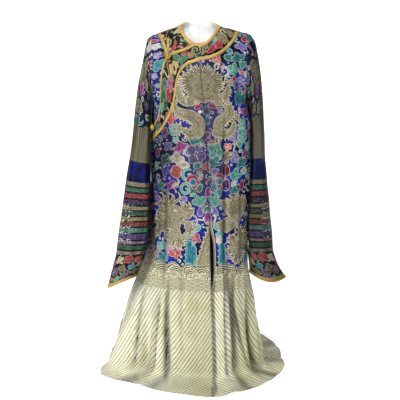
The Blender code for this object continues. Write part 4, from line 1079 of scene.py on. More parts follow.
def waves(cloth, shift=0.0):
    """Big humps of foam, rows of smaller ones under them, then the slanting stripes."""
    rows = [(0.962, 0.0258, 0.0460, 0.0078), (0.972, 0.0300, 0.0540, 0.0080), (0.986, 0.0180, 0.0290, 0.0066),
            (0.998, 0.0160, 0.0250, 0.0062), (1.009, 0.0140, 0.0220, 0.0058), (1.019, 0.0125, 0.0200, 0.0056),
            (1.028, 0.0115, 0.0185, 0.0054), (1.037, 0.0110, 0.0180, 0.0052)]
    a = np.searchsorted(cloth.sorted_v, 0.90)
    idx = cloth.order[a:]
    u, v = cloth.p[idx].T
    top = np.full(len(idx), -9.0)
    line = np.full(len(idx), 9.0)
    for j, (vc, r0, pitch, ring) in enumerate(rows):
        off = (j % 2) * pitch / 2 + shift + 0.004 * j
        cell = np.round((u - off) / pitch)
        uc = cell * pitch + off + 0.18 * pitch * np.sin(cell * 2.3 + j)
        r = r0 * (1 + 0.22 * np.sin(cell * 1.7 + 2 * j))
        rho = np.hypot(u - uc, v - vc)
        d = r - rho
        m = np.abs(d % ring - 0.5 * ring) * -1 + 0.5 * ring
        m = np.where(d < 0.0030, np.abs(d - 0.0014), m + 0.0004)
        line = np.where(d > 0, m, line)
        top = np.maximum(top, d)
    s = np.maximum(top, v - rows[0][0] - 0.004)
    keep = s > -0.03
    cloth.lay(idx[keep], s[keep], line[keep], SILKS["gold"], 0.55, gap=0.0024)
    # where the slanting stripes begin: a scalloped line
    n = 0.020
    zone = cloth.p[:, 1] - 1.040 + 0.007 * np.abs(np.sin(math.pi * (cloth.p[:, 0] + shift) / n))
    cloth.zone = zone


def rocks(cloth, s=1):
    """The rocks and the middle mountain that stand in the waves."""
    rock(cloth, -0.0720 * s, 0.846, 0.960, 0.0250, "turquoise")
    rock(cloth, 0.0420 * s, 0.852, 0.960, 0.0210, "turquoise")
    rock(cloth, -0.1980 * s, 0.900, 0.962, 0.0180, "teal", 4)
    rock(cloth, 0.1600 * s, 0.905, 0.962, 0.0180, "turquoise", 4)
    mountain(cloth, 0.004 if s > 0 else 0.0, 0.775, 0.972, 0.0040, 0.0640 if s > 0 else 0.050, teeth=11, sides=(-1,) if s > 0 else (-1, 1))
    mountain(cloth, -0.2440 * s, 0.880, 0.966, 0.0080, 0.0240, "khaki", 4)
    mountain(cloth, 0.2100 * s, 0.885, 0.966, 0.0080, 0.0240, "khaki", 4)


def paint_front(cloth):
    cloth.zone = np.full(len(cloth.p), -0.03)
    for u, v, kind, size, tint, turn in CLOUDS:
        cloth.motif(kind, u * 0.01, v * 0.01, size * 0.01 * 1.30, SILKS[tint], turn)
    clear(cloth, 0.002, 0.300, 0.082, 0.086)
    clear(cloth, 0.000, 0.410, 0.104, 0.068)
    chest_dragon(cloth)
    clear(cloth, -0.150, 0.765, 0.062, 0.072)
    clear(cloth, 0.105, 0.790, 0.042, 0.070)
    side_dragon(cloth, -0.128, 0.742, 1, 1.00)
    shell(cloth, 0.108, 0.800, 12.2, -38, 30, 11)
    shell(cloth, 0.062, 0.812, 4.6, -60, 60, 7)
    side_dragon(cloth, 0.112, 0.846, -1, 0.66)
    rocks(cloth)
    scatter(cloth, 7, -0.34, 0.34, 0.05, 0.97, 0.034, least=0.0070)
    scatter(cloth, 8, -0.34, 0.34, 0.05, 0.97, 0.021, least=0.0044, most=0.012)
    scatter(cloth, 9, -0.34, 0.34, 0.05, 0.97, 0.013, ["mint", "lavender", "teal", "magenta", "cream", "turquoise"], 0.0032, 0.0065)
    waves(cloth)


def paint_back(cloth):
    cloth.zone = np.full(len(cloth.p), -0.03)
    clear(cloth, 0.002, 0.300, 0.082, 0.086)
    clear(cloth, 0.000, 0.410, 0.104, 0.068)
    chest_dragon(cloth)
    side_dragon(cloth, -0.120, 0.700, 1, 1.0)
    side_dragon(cloth, 0.120, 0.700, -1, 1.0)
    for s in (-1, 1):
        cloth.motif("ring", s * 0.050, 0.560, 0.021, None)
        cloth.motif("ruyi", s * 0.050, 0.640, 0.024, SILKS["mint"], s * 20)
        cloth.motif("ruyi", s * 0.055, 0.505, 0.024, SILKS["teal"], s * -20)
        cloth.motif("curl", s * 0.018, 0.700, 0.014, SILKS["white"], s * 50)
    rocks(cloth, -1)
    scatter(cloth, 21, -0.36, 0.36, 0.02, 0.97, 0.042)
    scatter(cloth, 22, -0.36, 0.36, 0.02, 0.97, 0.022, least=0.0045, most=0.012)
    waves(cloth, 0.01)


# sleeves: what lies where down the upper sleeve; across 0 is the front's middle
SLEEVE_TOP = {
    "right": [
        (-4.0, 3.0, "ruyi", 2.4, "khaki", 20), (1.5, 5.5, "ruyi", 2.2, "gold", 60), (-6.5, 8.0, "puff", 2.2, "gold", 0),
        (-2.0, 10.0, "ruyi", 2.4, "magenta", 80), (3.0, 11.5, "puff", 2.0, "navy", 0), (-6.0, 13.5, "leaf", 2.0, "coral", 60),
        (-1.5, 15.5, "puff", 2.4, "gold", 90), (3.5, 17.0, "hook", 1.8, "white", 0), (-5.5, 18.0, "ruyi", 2.2, "mauve", 40),
        (-2.0, 20.5, "ruyi", 2.8, "teal", 70), (3.0, 22.5, "puff", 2.0, "turquoise", 0), (-6.5, 23.0, "leaf", 2.2, "turquoise", 70),
        (-1.0, 25.0, "leaf", 2.0, "magenta", 30), (-4.5, 27.0, "puff", 2.0, "rose", 0), (1.8, 28.0, "hook", 1.9, "white", 40),
        (-1.8, 29.8, "ruyi", 2.4, "turquoise", 20), (3.5, 31.5, "leaf", 2.0, "teal", 0), (-5.5, 31.5, "puff", 2.2, "mint", 0),
    ],
    "left": [
        (2.0, 3.0, "ruyi", 2.4, "khaki", 20), (-2.5, 6.0, "puff", 2.2, "gold", 60), (5.0, 7.0, "ruyi", 2.4, "gold", 0),
        (1.0, 10.5, "ruyi", 2.2, "plum", 80), (5.5, 12.0, "leaf", 2.0, "magenta", 60), (-3.0, 13.0, "puff", 2.2, "khaki", 90),
        (2.0, 16.0, "puff", 2.8, "khaki", 0), (6.5, 18.0, "ruyi", 2.2, "gold", 40), (-2.0, 19.5, "leaf", 2.2, "teal", 70),
        (3.0, 21.5, "ruyi", 2.8, "deepteal", 20), (6.5, 24.5, "leaf", 2.2, "magenta", 70), (-1.0, 25.0, "puff", 2.2, "purple", 30),
        (3.5, 28.0, "puff", 3.0, "gold", 0), (-2.0, 30.5, "leaf", 2.0, "teal", 40), (6.0, 32.0, "ruyi", 2.2, "plum", 20),
    ],
}


def paint_sleeve(word, lishui_from):
    def paint(cloth):
        cloth.zone = cloth.p[:, 1] - lishui_from + 0.010 * np.abs(np.sin(cloth.p[:, 0] * 42))
        w = 1 if word == "left" else -1
        for u, v, reach in ((0.040 * w, 0.070, 4.6), (0.052 * w, 0.150, 3.8), (0.020 * w, 0.265, 3.4), (-0.10 * w, 0.10, 5.5), (-0.11 * w, 0.23, 5.0)):
            locks, gaps = tuft(0, 0, reach, 15, -180, 180, 1.0)
            cloth.gold_shape([cm(p, u, v) for p in locks], [cm(p, u, v) for p in gaps], [(u, v, 0.012)])
        for u, v, kind, size, tint, turn in SLEEVE_TOP[word]:
            cloth.motif(kind, u * 0.01, v * 0.01, size * 0.01, SILKS[tint], turn)
        scatter(cloth, 31 if word == "right" else 32, -0.32, 0.32, 0.0, lishui_from, 0.042,
                ["gold"] * 4 + FILL)
        scatter(cloth, 33, -0.32, 0.32, 0.0, lishui_from, 0.024, least=0.005, most=0.010)
    return paint


CUFF_MOTIFS = [
    # round, down from the cuff's top, kind, size, silk, turn
    (-3.6, 2.2, "ruyi", 2.3, "cream", 30), (0.0, 1.8, "flower", 2.4, "rose", 0), (3.8, 2.2, "puff", 2.0, "rose", 0),
    (-1.8, 5.4, "ruyi", 2.3, "khaki", -20), (2.2, 5.2, "ruyi", 2.2, "turquoise", 160), (5.4, 4.6, "puff", 1.9, "cream", 0),
    (-4.8, 6.4, "puff", 2.2, "mauve", 0), (0.4, 8.2, "puff", 2.4, "mauve", 40), (4.2, 8.0, "ruyi", 2.2, "gold", 0),
    (-3.0, 9.4, "ruyi", 2.2, "mint", 0), (-6.8, 3.4, "flower", 2.0, "magenta", 0), (7.4, 7.0, "ruyi", 2.0, "gold", 30),
]


def paint_cuff(start, flip):
    def paint(cloth):
        cloth.zone = np.full(len(cloth.p), -0.03)
        for u, v, kind, size, tint, turn in CUFF_MOTIFS:
            cloth.motif(kind, flip * u * 0.01, start + v * 0.01, size * 0.0086, SILKS[tint], turn, flip)
        scatter(cloth, 41, -0.30, 0.30, start, start + 0.14, 0.036, ["cream", "khaki", "rose", "mauve", "turquoise", "gold", "mint"])
        scatter(cloth, 42, -0.30, 0.30, start, start + 0.14, 0.018, ["cream", "gold", "khaki"], least=0.004, most=0.008)
    return paint


# the facing round the neck: across from its inner edge, along from the centre front, in cm
NECK_MOTIFS = [
    (1.6, 2.0, "hook", 1.3, "gold", 0), (3.6, 1.4, "ruyi", 1.5, "gold", 90), (1.8, 4.8, "leaf", 2.0, "navy", 60),
    (3.6, 4.6, "leaf", 2.4, "rose", 70), (1.4, 7.4, "puff", 1.6, "mint", 0), (3.6, 8.0, "flower", 2.2, "rose", 60),
    (1.6, 10.2, "puff", 1.7, "gold", 0), (4.2, 11.4, "ruyi", 1.9, "gold", 60), (1.8, 13.2, "hook", 1.7, "cream", 0),
    (4.2, 15.0, "puff", 1.9, "gold", 0), (1.6, 16.4, "ruyi", 1.7, "gold", 90),
]
LAPEL_MOTIFS = [
    (1.8, 1.8, "hook", 1.4, "gold", 0), (3.6, 3.2, "puff", 1.6, "gold", 40), (1.6, 5.4, "leaf", 1.7, "rose", 70),
    (3.6, 6.8, "ruyi", 2.4, "green", 60), (1.4, 8.6, "leaf", 1.7, "green", 40), (3.8, 10.6, "hook", 2.0, "cream", 30),
    (1.8, 12.6, "hook", 1.6, "gold", 90), (3.6, 14.0, "puff", 1.7, "gold", 20), (1.6, 16.0, "curl", 1.8, "cream", 60),
    (3.8, 17.2, "leaf", 2.4, "pink", 78), (1.6, 19.6, "leaf", 2.3, "green", 85), (3.8, 20.6, "leaf", 2.2, "rose", 88),
    (1.8, 23.6, "leaf", 2.8, "green", 85), (3.4, 25.2, "leaf", 1.8, "deepteal", 80), (1.6, 28.2, "leaf", 2.0, "mint", 80),
    (2.8, 30.2, "curl", 1.5, "white", 80), (1.6, 32.4, "puff", 1.3, "pink", 0), (2.4, 35.0, "leaf", 1.6, "turquoise", 80),
    (1.6, 37.6, "puff", 1.3, "mint", 0),
]


def paint_facing(table, seed, length):
    def paint(cloth):
        cloth.zone = np.full(len(cloth.p), -0.03)
        for u, v, kind, size, tint, turn in table:
            cloth.motif(kind, u * 0.01, v * 0.01, size * 0.01, SILKS[tint], turn)
        scatter(cloth, seed, 0.0, 0.075, 0.0, length, 0.030, ["gold"] * 4 + ["cream", "green", "rose", "mint"], least=0.004)
        scatter(cloth, seed + 1, 0.0, 0.075, 0.0, length, 0.014, ["gold", "cream", "khaki"], least=0.003, most=0.007)
    return paint

# ------------------------------------------------------------------ main creases
# u across from the centre seam, v down the cloth, metres: u0, v0, u1, v1, half width, depth
CREASES = {
    1: [
        # the long fold line right of the centre, the trough and the ridges beside it
        (0.066, 0.40, 0.052, 0.74, 0.0055, -0.0075),
        (0.056, 0.66, 0.046, 1.06, 0.0070, -0.0100),
        (0.084, 0.44, 0.072, 0.86, 0.0110, 0.0065),
        (0.036, 0.50, 0.032, 0.98, 0.0100, 0.0055),
        # the fold left of the centre
        (-0.172, 0.60, -0.196, 1.06, 0.0070, -0.0085),
        (-0.150, 0.56, -0.166, 1.04, 0.0110, 0.0060),
        # under the arms, fanning down
        (-0.262, 0.38, -0.222, 0.70, 0.0100, -0.0085),
        (-0.238, 0.50, -0.226, 0.96, 0.0100, 0.0060),
        (0.250, 0.38, 0.204, 0.64, 0.0110, -0.0085),
        (0.214, 0.48, 0.200, 0.90, 0.0100, -0.0070),
        (0.180, 0.56, 0.172, 0.98, 0.0120, 0.0062),
        (0.130, 0.62, 0.126, 1.00, 0.0100, -0.0052),
        # pulled from the neck and shoulder down over the chest
        (0.100, 0.12, 0.062, 0.34, 0.0110, -0.0040),
        (0.146, 0.16, 0.136, 0.38, 0.0100, -0.0048),
        (-0.006, 0.22, -0.003, 0.60, 0.0045, -0.0022),
        (-0.052, 0.26, -0.060, 0.52, 0.0120, -0.0036),
        (-0.118, 0.44, -0.110, 0.62, 0.0100, -0.0050),
        (-0.020, 0.40, -0.022, 0.76, 0.0110, 0.0040),
        # lower skirt, wearer's right: the long grooves that run out to the corner
        (-0.168, 0.98, -0.190, 1.40, 0.0080, -0.0110),
        (-0.148, 0.94, -0.160, 1.38, 0.0110, 0.0075),
        (-0.206, 1.06, -0.250, 1.40, 0.0075, -0.0100),
        (-0.228, 1.02, -0.282, 1.40, 0.0110, 0.0085),
        (-0.262, 0.98, -0.330, 1.36, 0.0080, -0.0090),
        (-0.110, 0.92, -0.124, 1.36, 0.0100, -0.0050),
        (-0.085, 0.96, -0.096, 1.40, 0.0130, 0.0050),
        (-0.052, 0.98, -0.058, 1.38, 0.0100, -0.0036),
        # lower skirt, wearer's left: the trough beside the pleat and the slanting grooves
        (0.052, 1.00, 0.056, 1.38, 0.0070, -0.0130),
        (0.072, 1.02, 0.078, 1.38, 0.0100, 0.0060),
        (0.104, 1.10, 0.176, 1.38, 0.0085, -0.0120),
        (0.096, 0.94, 0.106, 1.20, 0.0090, -0.0070),
        (0.134, 0.96, 0.196, 1.34, 0.0110, 0.0085),
        (0.160, 1.00, 0.224, 1.38, 0.0085, -0.0090),
        (0.196, 0.98, 0.262, 1.38, 0.0110, 0.0080),
        (0.232, 1.04, 0.300, 1.40, 0.0090, -0.0080),
    ],
    -1: [
        (-0.010, 0.24, -0.026, 0.66, 0.0110, -0.0050),
        (0.090, 0.18, 0.104, 0.62, 0.0110, -0.0060),
        (-0.096, 0.16, -0.112, 0.70, 0.0120, -0.0056),
        (0.034, 0.46, 0.040, 0.96, 0.0130, 0.0056),
        (-0.060, 0.52, -0.054, 1.00, 0.0120, 0.0052),
        (0.160, 0.36, 0.150, 0.84, 0.0100, -0.0075),
        (-0.170, 0.36, -0.160, 0.90, 0.0100, -0.0075),
        (0.206, 0.40, 0.196, 0.94, 0.0120, 0.0060),
        (-0.210, 0.44, -0.196, 1.00, 0.0120, 0.0056),
        (0.010, 0.72, 0.018, 1.36, 0.0110, -0.0090),
        (-0.060, 0.84, -0.080, 1.36, 0.0130, 0.0070),
        (-0.100, 0.78, -0.140, 1.36, 0.0100, -0.0095),
        (0.070, 0.90, 0.084, 1.38, 0.0130, 0.0070),
        (0.110, 0.80, 0.150, 1.38, 0.0100, -0.0095),
        (0.180, 0.82, 0.240, 1.36, 0.0120, 0.0080),
        (0.220, 0.94, 0.290, 1.38, 0.0090, -0.0085),
        (-0.180, 0.86, -0.250, 1.38, 0.0120, 0.0080),
        (-0.220, 0.96, -0.300, 1.38, 0.0090, -0.0085),
    ],
}


def drape(share, run, face):
    """How far the cloth stands out from its even form, and its place across."""
    share, run = np.broadcast_arrays(np.asarray(share, float), np.asarray(run, float))
    u = across(share, run, face)
    d = crease(u, run, CREASES[face])
    d += 0.0016 * ripple(u, run, 0.085, 5 + face) * step(run, 0.10, 0.50)
    d += 0.0006 * ripple(u, run, 0.030, 15 + face)
    d *= step(run, 0.0, 0.06) * step(hem_run(share, face) - run, 0.0, 0.03)
    d *= step(1 - np.abs(share), 0.0, 0.05 + 0.12 * (run < 0.36))
    # a light ripple where the hem meets the floor
    d += 0.0030 * ripple(u, run, 0.055, 25 + face) * step(run, 1.22, 1.30) * step(hem_run(share, face) - run, 0.0, 0.03)
    return d, u


def trough(share, run, face):
    """How far a place lies down in a crease or fold, from 0 to 1."""
    d, _ = drape(share, run, face)
    cosine = np.sqrt(np.clip(1 - share**2, 0, 1))
    way = np.degrees(np.arctan2(share, face * cosine))
    return np.clip(-(d + 0.45 * folds(way, run)) / 0.011, 0, 1)


def on_cloth(share, run, face, lift=0.0):
    d, _ = drape(share, run, face)
    return cloth(share, run, face, lift + d)


FINE = 0.0024
BACK = 0.0034
COARSE = 0.0056


def panel(tops, feet, step_down, face, meet, top_row=0.46, change=1.04, end=None):
    """Share and run for a grid of points from the top edge down to the hem."""
    tops_x, tops_r = tops[:, 0], np.abs(tops[:, 1])
    foot = hem_run(feet, face) if end is None else np.full(len(feet), end)
    # rows above top_row start at each column's own top edge
    n1 = int(round((top_row - tops_r.min()) / step_down))
    upper = tops_r[None, :] + np.linspace(0, 1, n1 + 1)[:, None] * (top_row - tops_r)[None, :]
    if end is None:
        mid = np.repeat(np.linspace(top_row, change, int(round((change - top_row) / step_down)) + 1)[1:, None], len(feet), 1)
        low_n = int(round((foot.max() - change) / COARSE))
        low = change + np.linspace(0, 1, low_n + 1)[1:, None] * (foot - change)[None, :]
        run = np.concatenate([upper, mid, low])
    else:
        low_n = int(round((end - top_row) / COARSE))
        run = np.concatenate([upper, top_row + np.linspace(0, 1, low_n + 1)[1:, None] * (foot - top_row)[None, :]])
    k = step(run, tops_r[None, :], np.maximum(meet, tops_r + 0.12)[None, :])
    share = (tops_x / HALF)[None, :] * (1 - k) + feet[None, :] * k
    return share, run


def neckline_tops(side, face, n):
    t = np.linspace(0, 1, n + 1)
    x = HALF * t
    deep = NECK_FRONT if face > 0 else NECK_BACK
    r = deep * np.sqrt(np.clip(1 - (x / NECK_HALF) ** 2, 0, 1))
    feet = side * np.sin(math.pi / 2 * t)
    feet[-1] = side
    return np.stack([side * x, r], -1), feet


def vent_gap(run):
    """Width of the gap at the vent: it gapes just below the seam and closes lower down."""
    return 0.0118 * step(run, VENT_RUN - 0.01, 0.87) * (1 - step(run, 0.95, 1.06))


def open_vent(pts, share, run, side):
    """The edge of the vent gapes, and lower down it tucks in behind the overlap."""
    near = np.clip(1 - np.abs(share) / 0.35, 0, 1) ** 1.5
    edge = 1 - step(np.abs(share), 0.0, 0.055)
    tuck = step(run, 1.00, 1.08)
    pts = pts.copy()
    pts[..., 0] += side * vent_gap(run) * near - side * 0.010 * tuck * edge
    pts[..., 1] += 0.0055 * tuck * edge
    return pts


def body_piece(name, side, face):
    step_down = FINE if face > 0 else BACK
    sunk = face > 0 and side < 0
    n = int(round((0.235 if face > 0 else 0.25) / step_down))
    tops, feet = neckline_tops(side, face, n)
    if sunk:
        share, run = panel(tops, feet, step_down, face, 0.42, end=LAP_END)
    else:
        share, run = panel(tops, feet, step_down, face, 0.42)
    sheets = []
    for wall in (0.0, WALL):
        lift = (inset(share, run) if sunk else 0.0) - wall
        pts = on_cloth(share, run, face, lift)
        pts[..., 0] += np.where(np.abs(share) < 1e-6, side * SEAM / 2, 0)
        pts[..., 1] -= np.where((run > 0.345) & (np.abs(share) > 0.9999), face * SEAM / 2, 0)
        if face > 0 and side > 0:
            pts = open_vent(pts, share, run, side)
        sheets.append(pts)
    u = across(share, run, face)
    values = chart(u, run, 0 if face > 0 else 1)
    values["deep"] = body_shade(share, run, face)
    return piece(name, [(*sheets, values)], every=2, paint=paint_front if face > 0 else paint_back)


def body_shade(share, run, face):
    """How much painted shade the cloth gets, from 0 to 1, where it lies in a crease or against a sleeve."""
    # painted shade down the sides beside the sleeves, and over the wearer's right front below the arm
    side = step(np.abs(share), 0.74, 1.0) * step(run, 0.30, 0.44) * (1 - step(run, 0.86, 1.02))
    side = np.maximum(side, 1.0 * step(-share, 0.30, 0.85) * step(run, 0.34, 0.50) * (1 - step(run, 0.62, 0.86)) * (face > 0))
    under = 0.0
    if face > 0:
        # painted shadow under the edge of the pleat beside the vent down to where the skirt breaks on the floor, along
        # the vent's slit, and at the top of the centre seam
        u = across(share, run, face)
        under = np.exp(-((u - 0.050) / 0.006) ** 2) * step(run, 1.00, 1.08) * (1 - step(run, 1.34, 1.37)) * 0.9
        under = np.maximum(under, np.exp(-((u - 0.003) / 0.0040) ** 2) * step(run, 0.84, 0.90) * 0.8)
        under = np.maximum(under, np.exp(-((u - 0.0085) / 0.0034) ** 4) * step(run, 0.97, 1.02) * 1.6)
        under = np.maximum(under, np.exp(-(u / 0.0030) ** 2) * step(run, 0.13, 0.20) * 0.9)
    return np.clip(np.maximum(trough(share, run, face), np.maximum(0.75 * side, under)), 0, 1)[..., None]


def chart(u, v, kind):
    """Place on the cloth: u, v and which panel it is (0 front, 1 back, 2 sleeve, ...)."""
    return {"at": np.stack([u, v, np.full(u.shape, float(kind))], -1)}


PIECES = {}


def piece(name, patches, every=3, paint=None):
    for _, _, values in patches:
        at = values["at"]
        values.setdefault("deep", np.zeros((*at.shape[:2], 1)))
        if paint:
            c = Cloth(at.reshape(-1, 3))
            paint(c)
            shape = at.shape[:2]
            values["sd"] = c.sd.reshape(*shape, 1)
            values["tint"] = c.tint.reshape(*shape, 3)
            values["line"] = c.line.reshape(*shape, 1)
            values["gold"] = c.gold.reshape(*shape, 1)
            values["zone"] = np.clip(c.zone, -0.05, 0.6).reshape(*shape, 1)
    ob = build(name, patches, every)
    PIECES[name] = ob
    ob["cloth_area"] = sum(area_of(p[0]) for p in patches)
    return ob


def around_side(table, n):
    bend = [(0.15 * math.asin(x / HALF), run) for x, run in table]
    p = np.array(bend, float)
    t = np.concatenate([[0], np.cumsum(np.hypot(*np.diff(p, axis=0).T))])
    t /= t[-1]
    at = np.linspace(0, 1, n + 1)
    line = np.stack([smooth(t, p[:, 0])(at), smooth(t, p[:, 1])(at)], -1)
    line[:, 0] = HALF * np.sin(line[:, 0] / 0.15)
    line[0, 0] = 0.0
    return line


def on_overlap(share, run, lift):
    pts = on_cloth(share, run, 1, lift)
    pts[..., 0] -= np.where(np.abs(share) < 1e-6, SEAM / 2, 0)
    pts[..., 1] -= np.where(np.abs(share) > 0.985, SEAM * 1.5, 0)
    return pts


def overlap_piece():
    n = int(round(0.285 / FINE))
    tops = around_side(LAPEL, n)
    feet = -np.sin(np.linspace(0, math.pi / 2, n + 1))
    feet[-1] = -1.0
    share, run = panel(tops, feet, FINE, 1, 0.60, top_row=0.56)
    values = chart(across(share, run, 1), run, 0)
    values["deep"] = body_shade(share, run, 1)
    return piece("front_overlap", [(on_overlap(share, run, 0.0), on_overlap(share, run, -WALL), values)], every=2,
                 paint=paint_front)


body_piece("body_left_front", 1, 1)
body_piece("body_left_back", 1, -1)
body_piece("body_right_front", -1, 1)
body_piece("body_right_back", -1, -1)
overlap_piece()

# ------------------------------------------------------------------ sleeves
# creases round the sleeves: turn round (0 the outside, 90 the front, 180 the inside) and
# distance down, as turn0, v0, turn1, v1, half width in degrees, depth
SLEEVE_CREASES = {
    "right": [
        (70, 0.10, 40, 0.34, 14, -0.006), (120, 0.05, 96, 0.30, 13, -0.005), (95, 0.16, 66, 0.44, 11, 0.005),
        (28, 0.16, 18, 0.46, 14, -0.005), (140, 0.20, 118, 0.52, 13, -0.005), (60, 0.42, 84, 0.58, 12, -0.004),
        (110, 0.50, 96, 0.78, 12, -0.0045), (60, 0.54, 52, 0.84, 13, -0.0040), (85, 0.56, 78, 0.84, 9, 0.0035),
        (250, 0.08, 300, 0.36, 14, -0.006), (220, 0.22, 236, 0.60, 14, -0.006), (290, 0.36, 276, 0.80, 14, -0.005),
        (262, 0.30, 256, 0.70, 12, 0.005), (330, 0.20, 326, 0.60, 13, 0.004),
    ],
    "left": [
        (60, 0.12, 44, 0.36, 13, -0.006), (112, 0.06, 92, 0.28, 14, -0.005), (86, 0.20, 70, 0.48, 10, 0.005),
        (24, 0.20, 20, 0.48, 13, -0.005), (136, 0.22, 124, 0.54, 12, -0.005), (74, 0.44, 92, 0.58, 12, -0.004),
        (112, 0.52, 100, 0.80, 12, -0.0045), (64, 0.56, 54, 0.84, 13, -0.0040), (88, 0.58, 82, 0.84, 9, 0.0035),
        (246, 0.10, 296, 0.38, 14, -0.006), (222, 0.24, 232, 0.62, 14, -0.006), (292, 0.34, 280, 0.78, 14, -0.005),
        (264, 0.34, 252, 0.72, 12, 0.005), (332, 0.24, 324, 0.62, 13, 0.004),
    ],
}


def armhole_ring(turn, side):
    d = ARM_DROP / 2 * (1 - np.cos(turn))
    run_of = np.where(d < ROLL, ROLL * np.arccos(np.clip(1 - d / ROLL, -1, 1)), d - ROLL + ROLL * math.pi / 2)
    front = base(np.full(turn.shape, side * 1.0), run_of, 1)
    back = base(np.full(turn.shape, side * 1.0), run_of, -1)
    p = np.where((turn <= math.pi)[..., None], front, back)
    p[..., 0] = side * (HALF + SEAM + 0.0001)
    return p


def sleeve_point(side, table, k, turn):
    """Point on the sleeve: k counts the rings, turn goes round from the outside over the front."""
    ox, oz, ix, iz, my, deep = [f(np.maximum(k, 0.0)) for f in RINGS[side]]
    co, si = ring_shape(np.maximum(k, 0.0), turn)
    mx, mz = (ox + ix) / 2, (oz + iz) / 2
    x = side * (mx + (ox - ix) / 2 * co)
    z = mz + (oz - iz) / 2 * co
    y = my - deep * si
    p = np.stack([x, y, z], -1)
    head = armhole_ring(turn, side)
    w = np.clip(-k, 0, 1)
    # the first stretch leaves the armhole smoothly
    return np.where((k < 0)[..., None], p * (1 - w)[..., None] + head * w[..., None], p)


def sleeve_rings(table):
    rows = [list(r) for r in table]
    k = np.arange(len(rows))
    return [smooth(k, [r[i] for r in rows]) for i in range(6)]


RINGS = {-1: sleeve_rings(SLEEVE_RIGHT), 1: sleeve_rings(SLEEVE_LEFT)}
WORD = {-1: "right", 1: "left"}
TABLE = {-1: SLEEVE_RIGHT, 1: SLEEVE_LEFT}


def sleeve_length(side):
    """Distance down the front of the sleeve at each ring number."""
    k = np.linspace(-1, 16, 341)
    p = sleeve_point(side, TABLE[side], k, np.full(k.shape, math.pi / 2))
    return k, np.concatenate([[0], np.cumsum(np.linalg.norm(np.diff(p, axis=0), axis=1))])


def body_tree():
    """The body's cloth as one search tree, for how near a sleeve may come."""
    from mathutils.bvhtree import BVHTree
    points, faces = [], []
    for name in ("body_left_front", "body_left_back", "body_right_front", "body_right_back", "front_overlap"):
        me = PIECES[name].data
        first = len(points)
        co = np.empty(len(me.vertices) * 3, np.float32)
        me.vertices.foreach_get("co", co)
        points += co.reshape(-1, 3).tolist()
        faces += [[first + i for i in p.vertices] for p in me.polygons]
    return BVHTree.FromPolygons(points, faces)


def room_beside(P, n, K, T):
    """How far the cloth can move out along its normal before it lies on the body."""
    from mathutils import Vector
    room = np.full(K.shape, 0.05)
    for i, j in zip(*np.nonzero((K > 0.4) & (np.cos(T) < 0.35))):
        a, way = Vector(P[i, j]), Vector(n[i, j])
        hit = BODY_TREE.ray_cast(a - way * 0.008, way, 0.05)[3]
        if hit is not None:
            room[i, j] = hit - 0.008
    # the nearest of the neighbours counts, so that no fold slips into the body's side seam
    for axis in (0, 1):
        for _ in range(3):
            wide = np.concatenate([room.take([0], axis), room, room.take([-1], axis)], axis)
            k = np.arange(room.shape[axis])
            room = np.minimum(np.minimum(wide.take(k, axis), wide.take(k + 2, axis)), room)
    return room


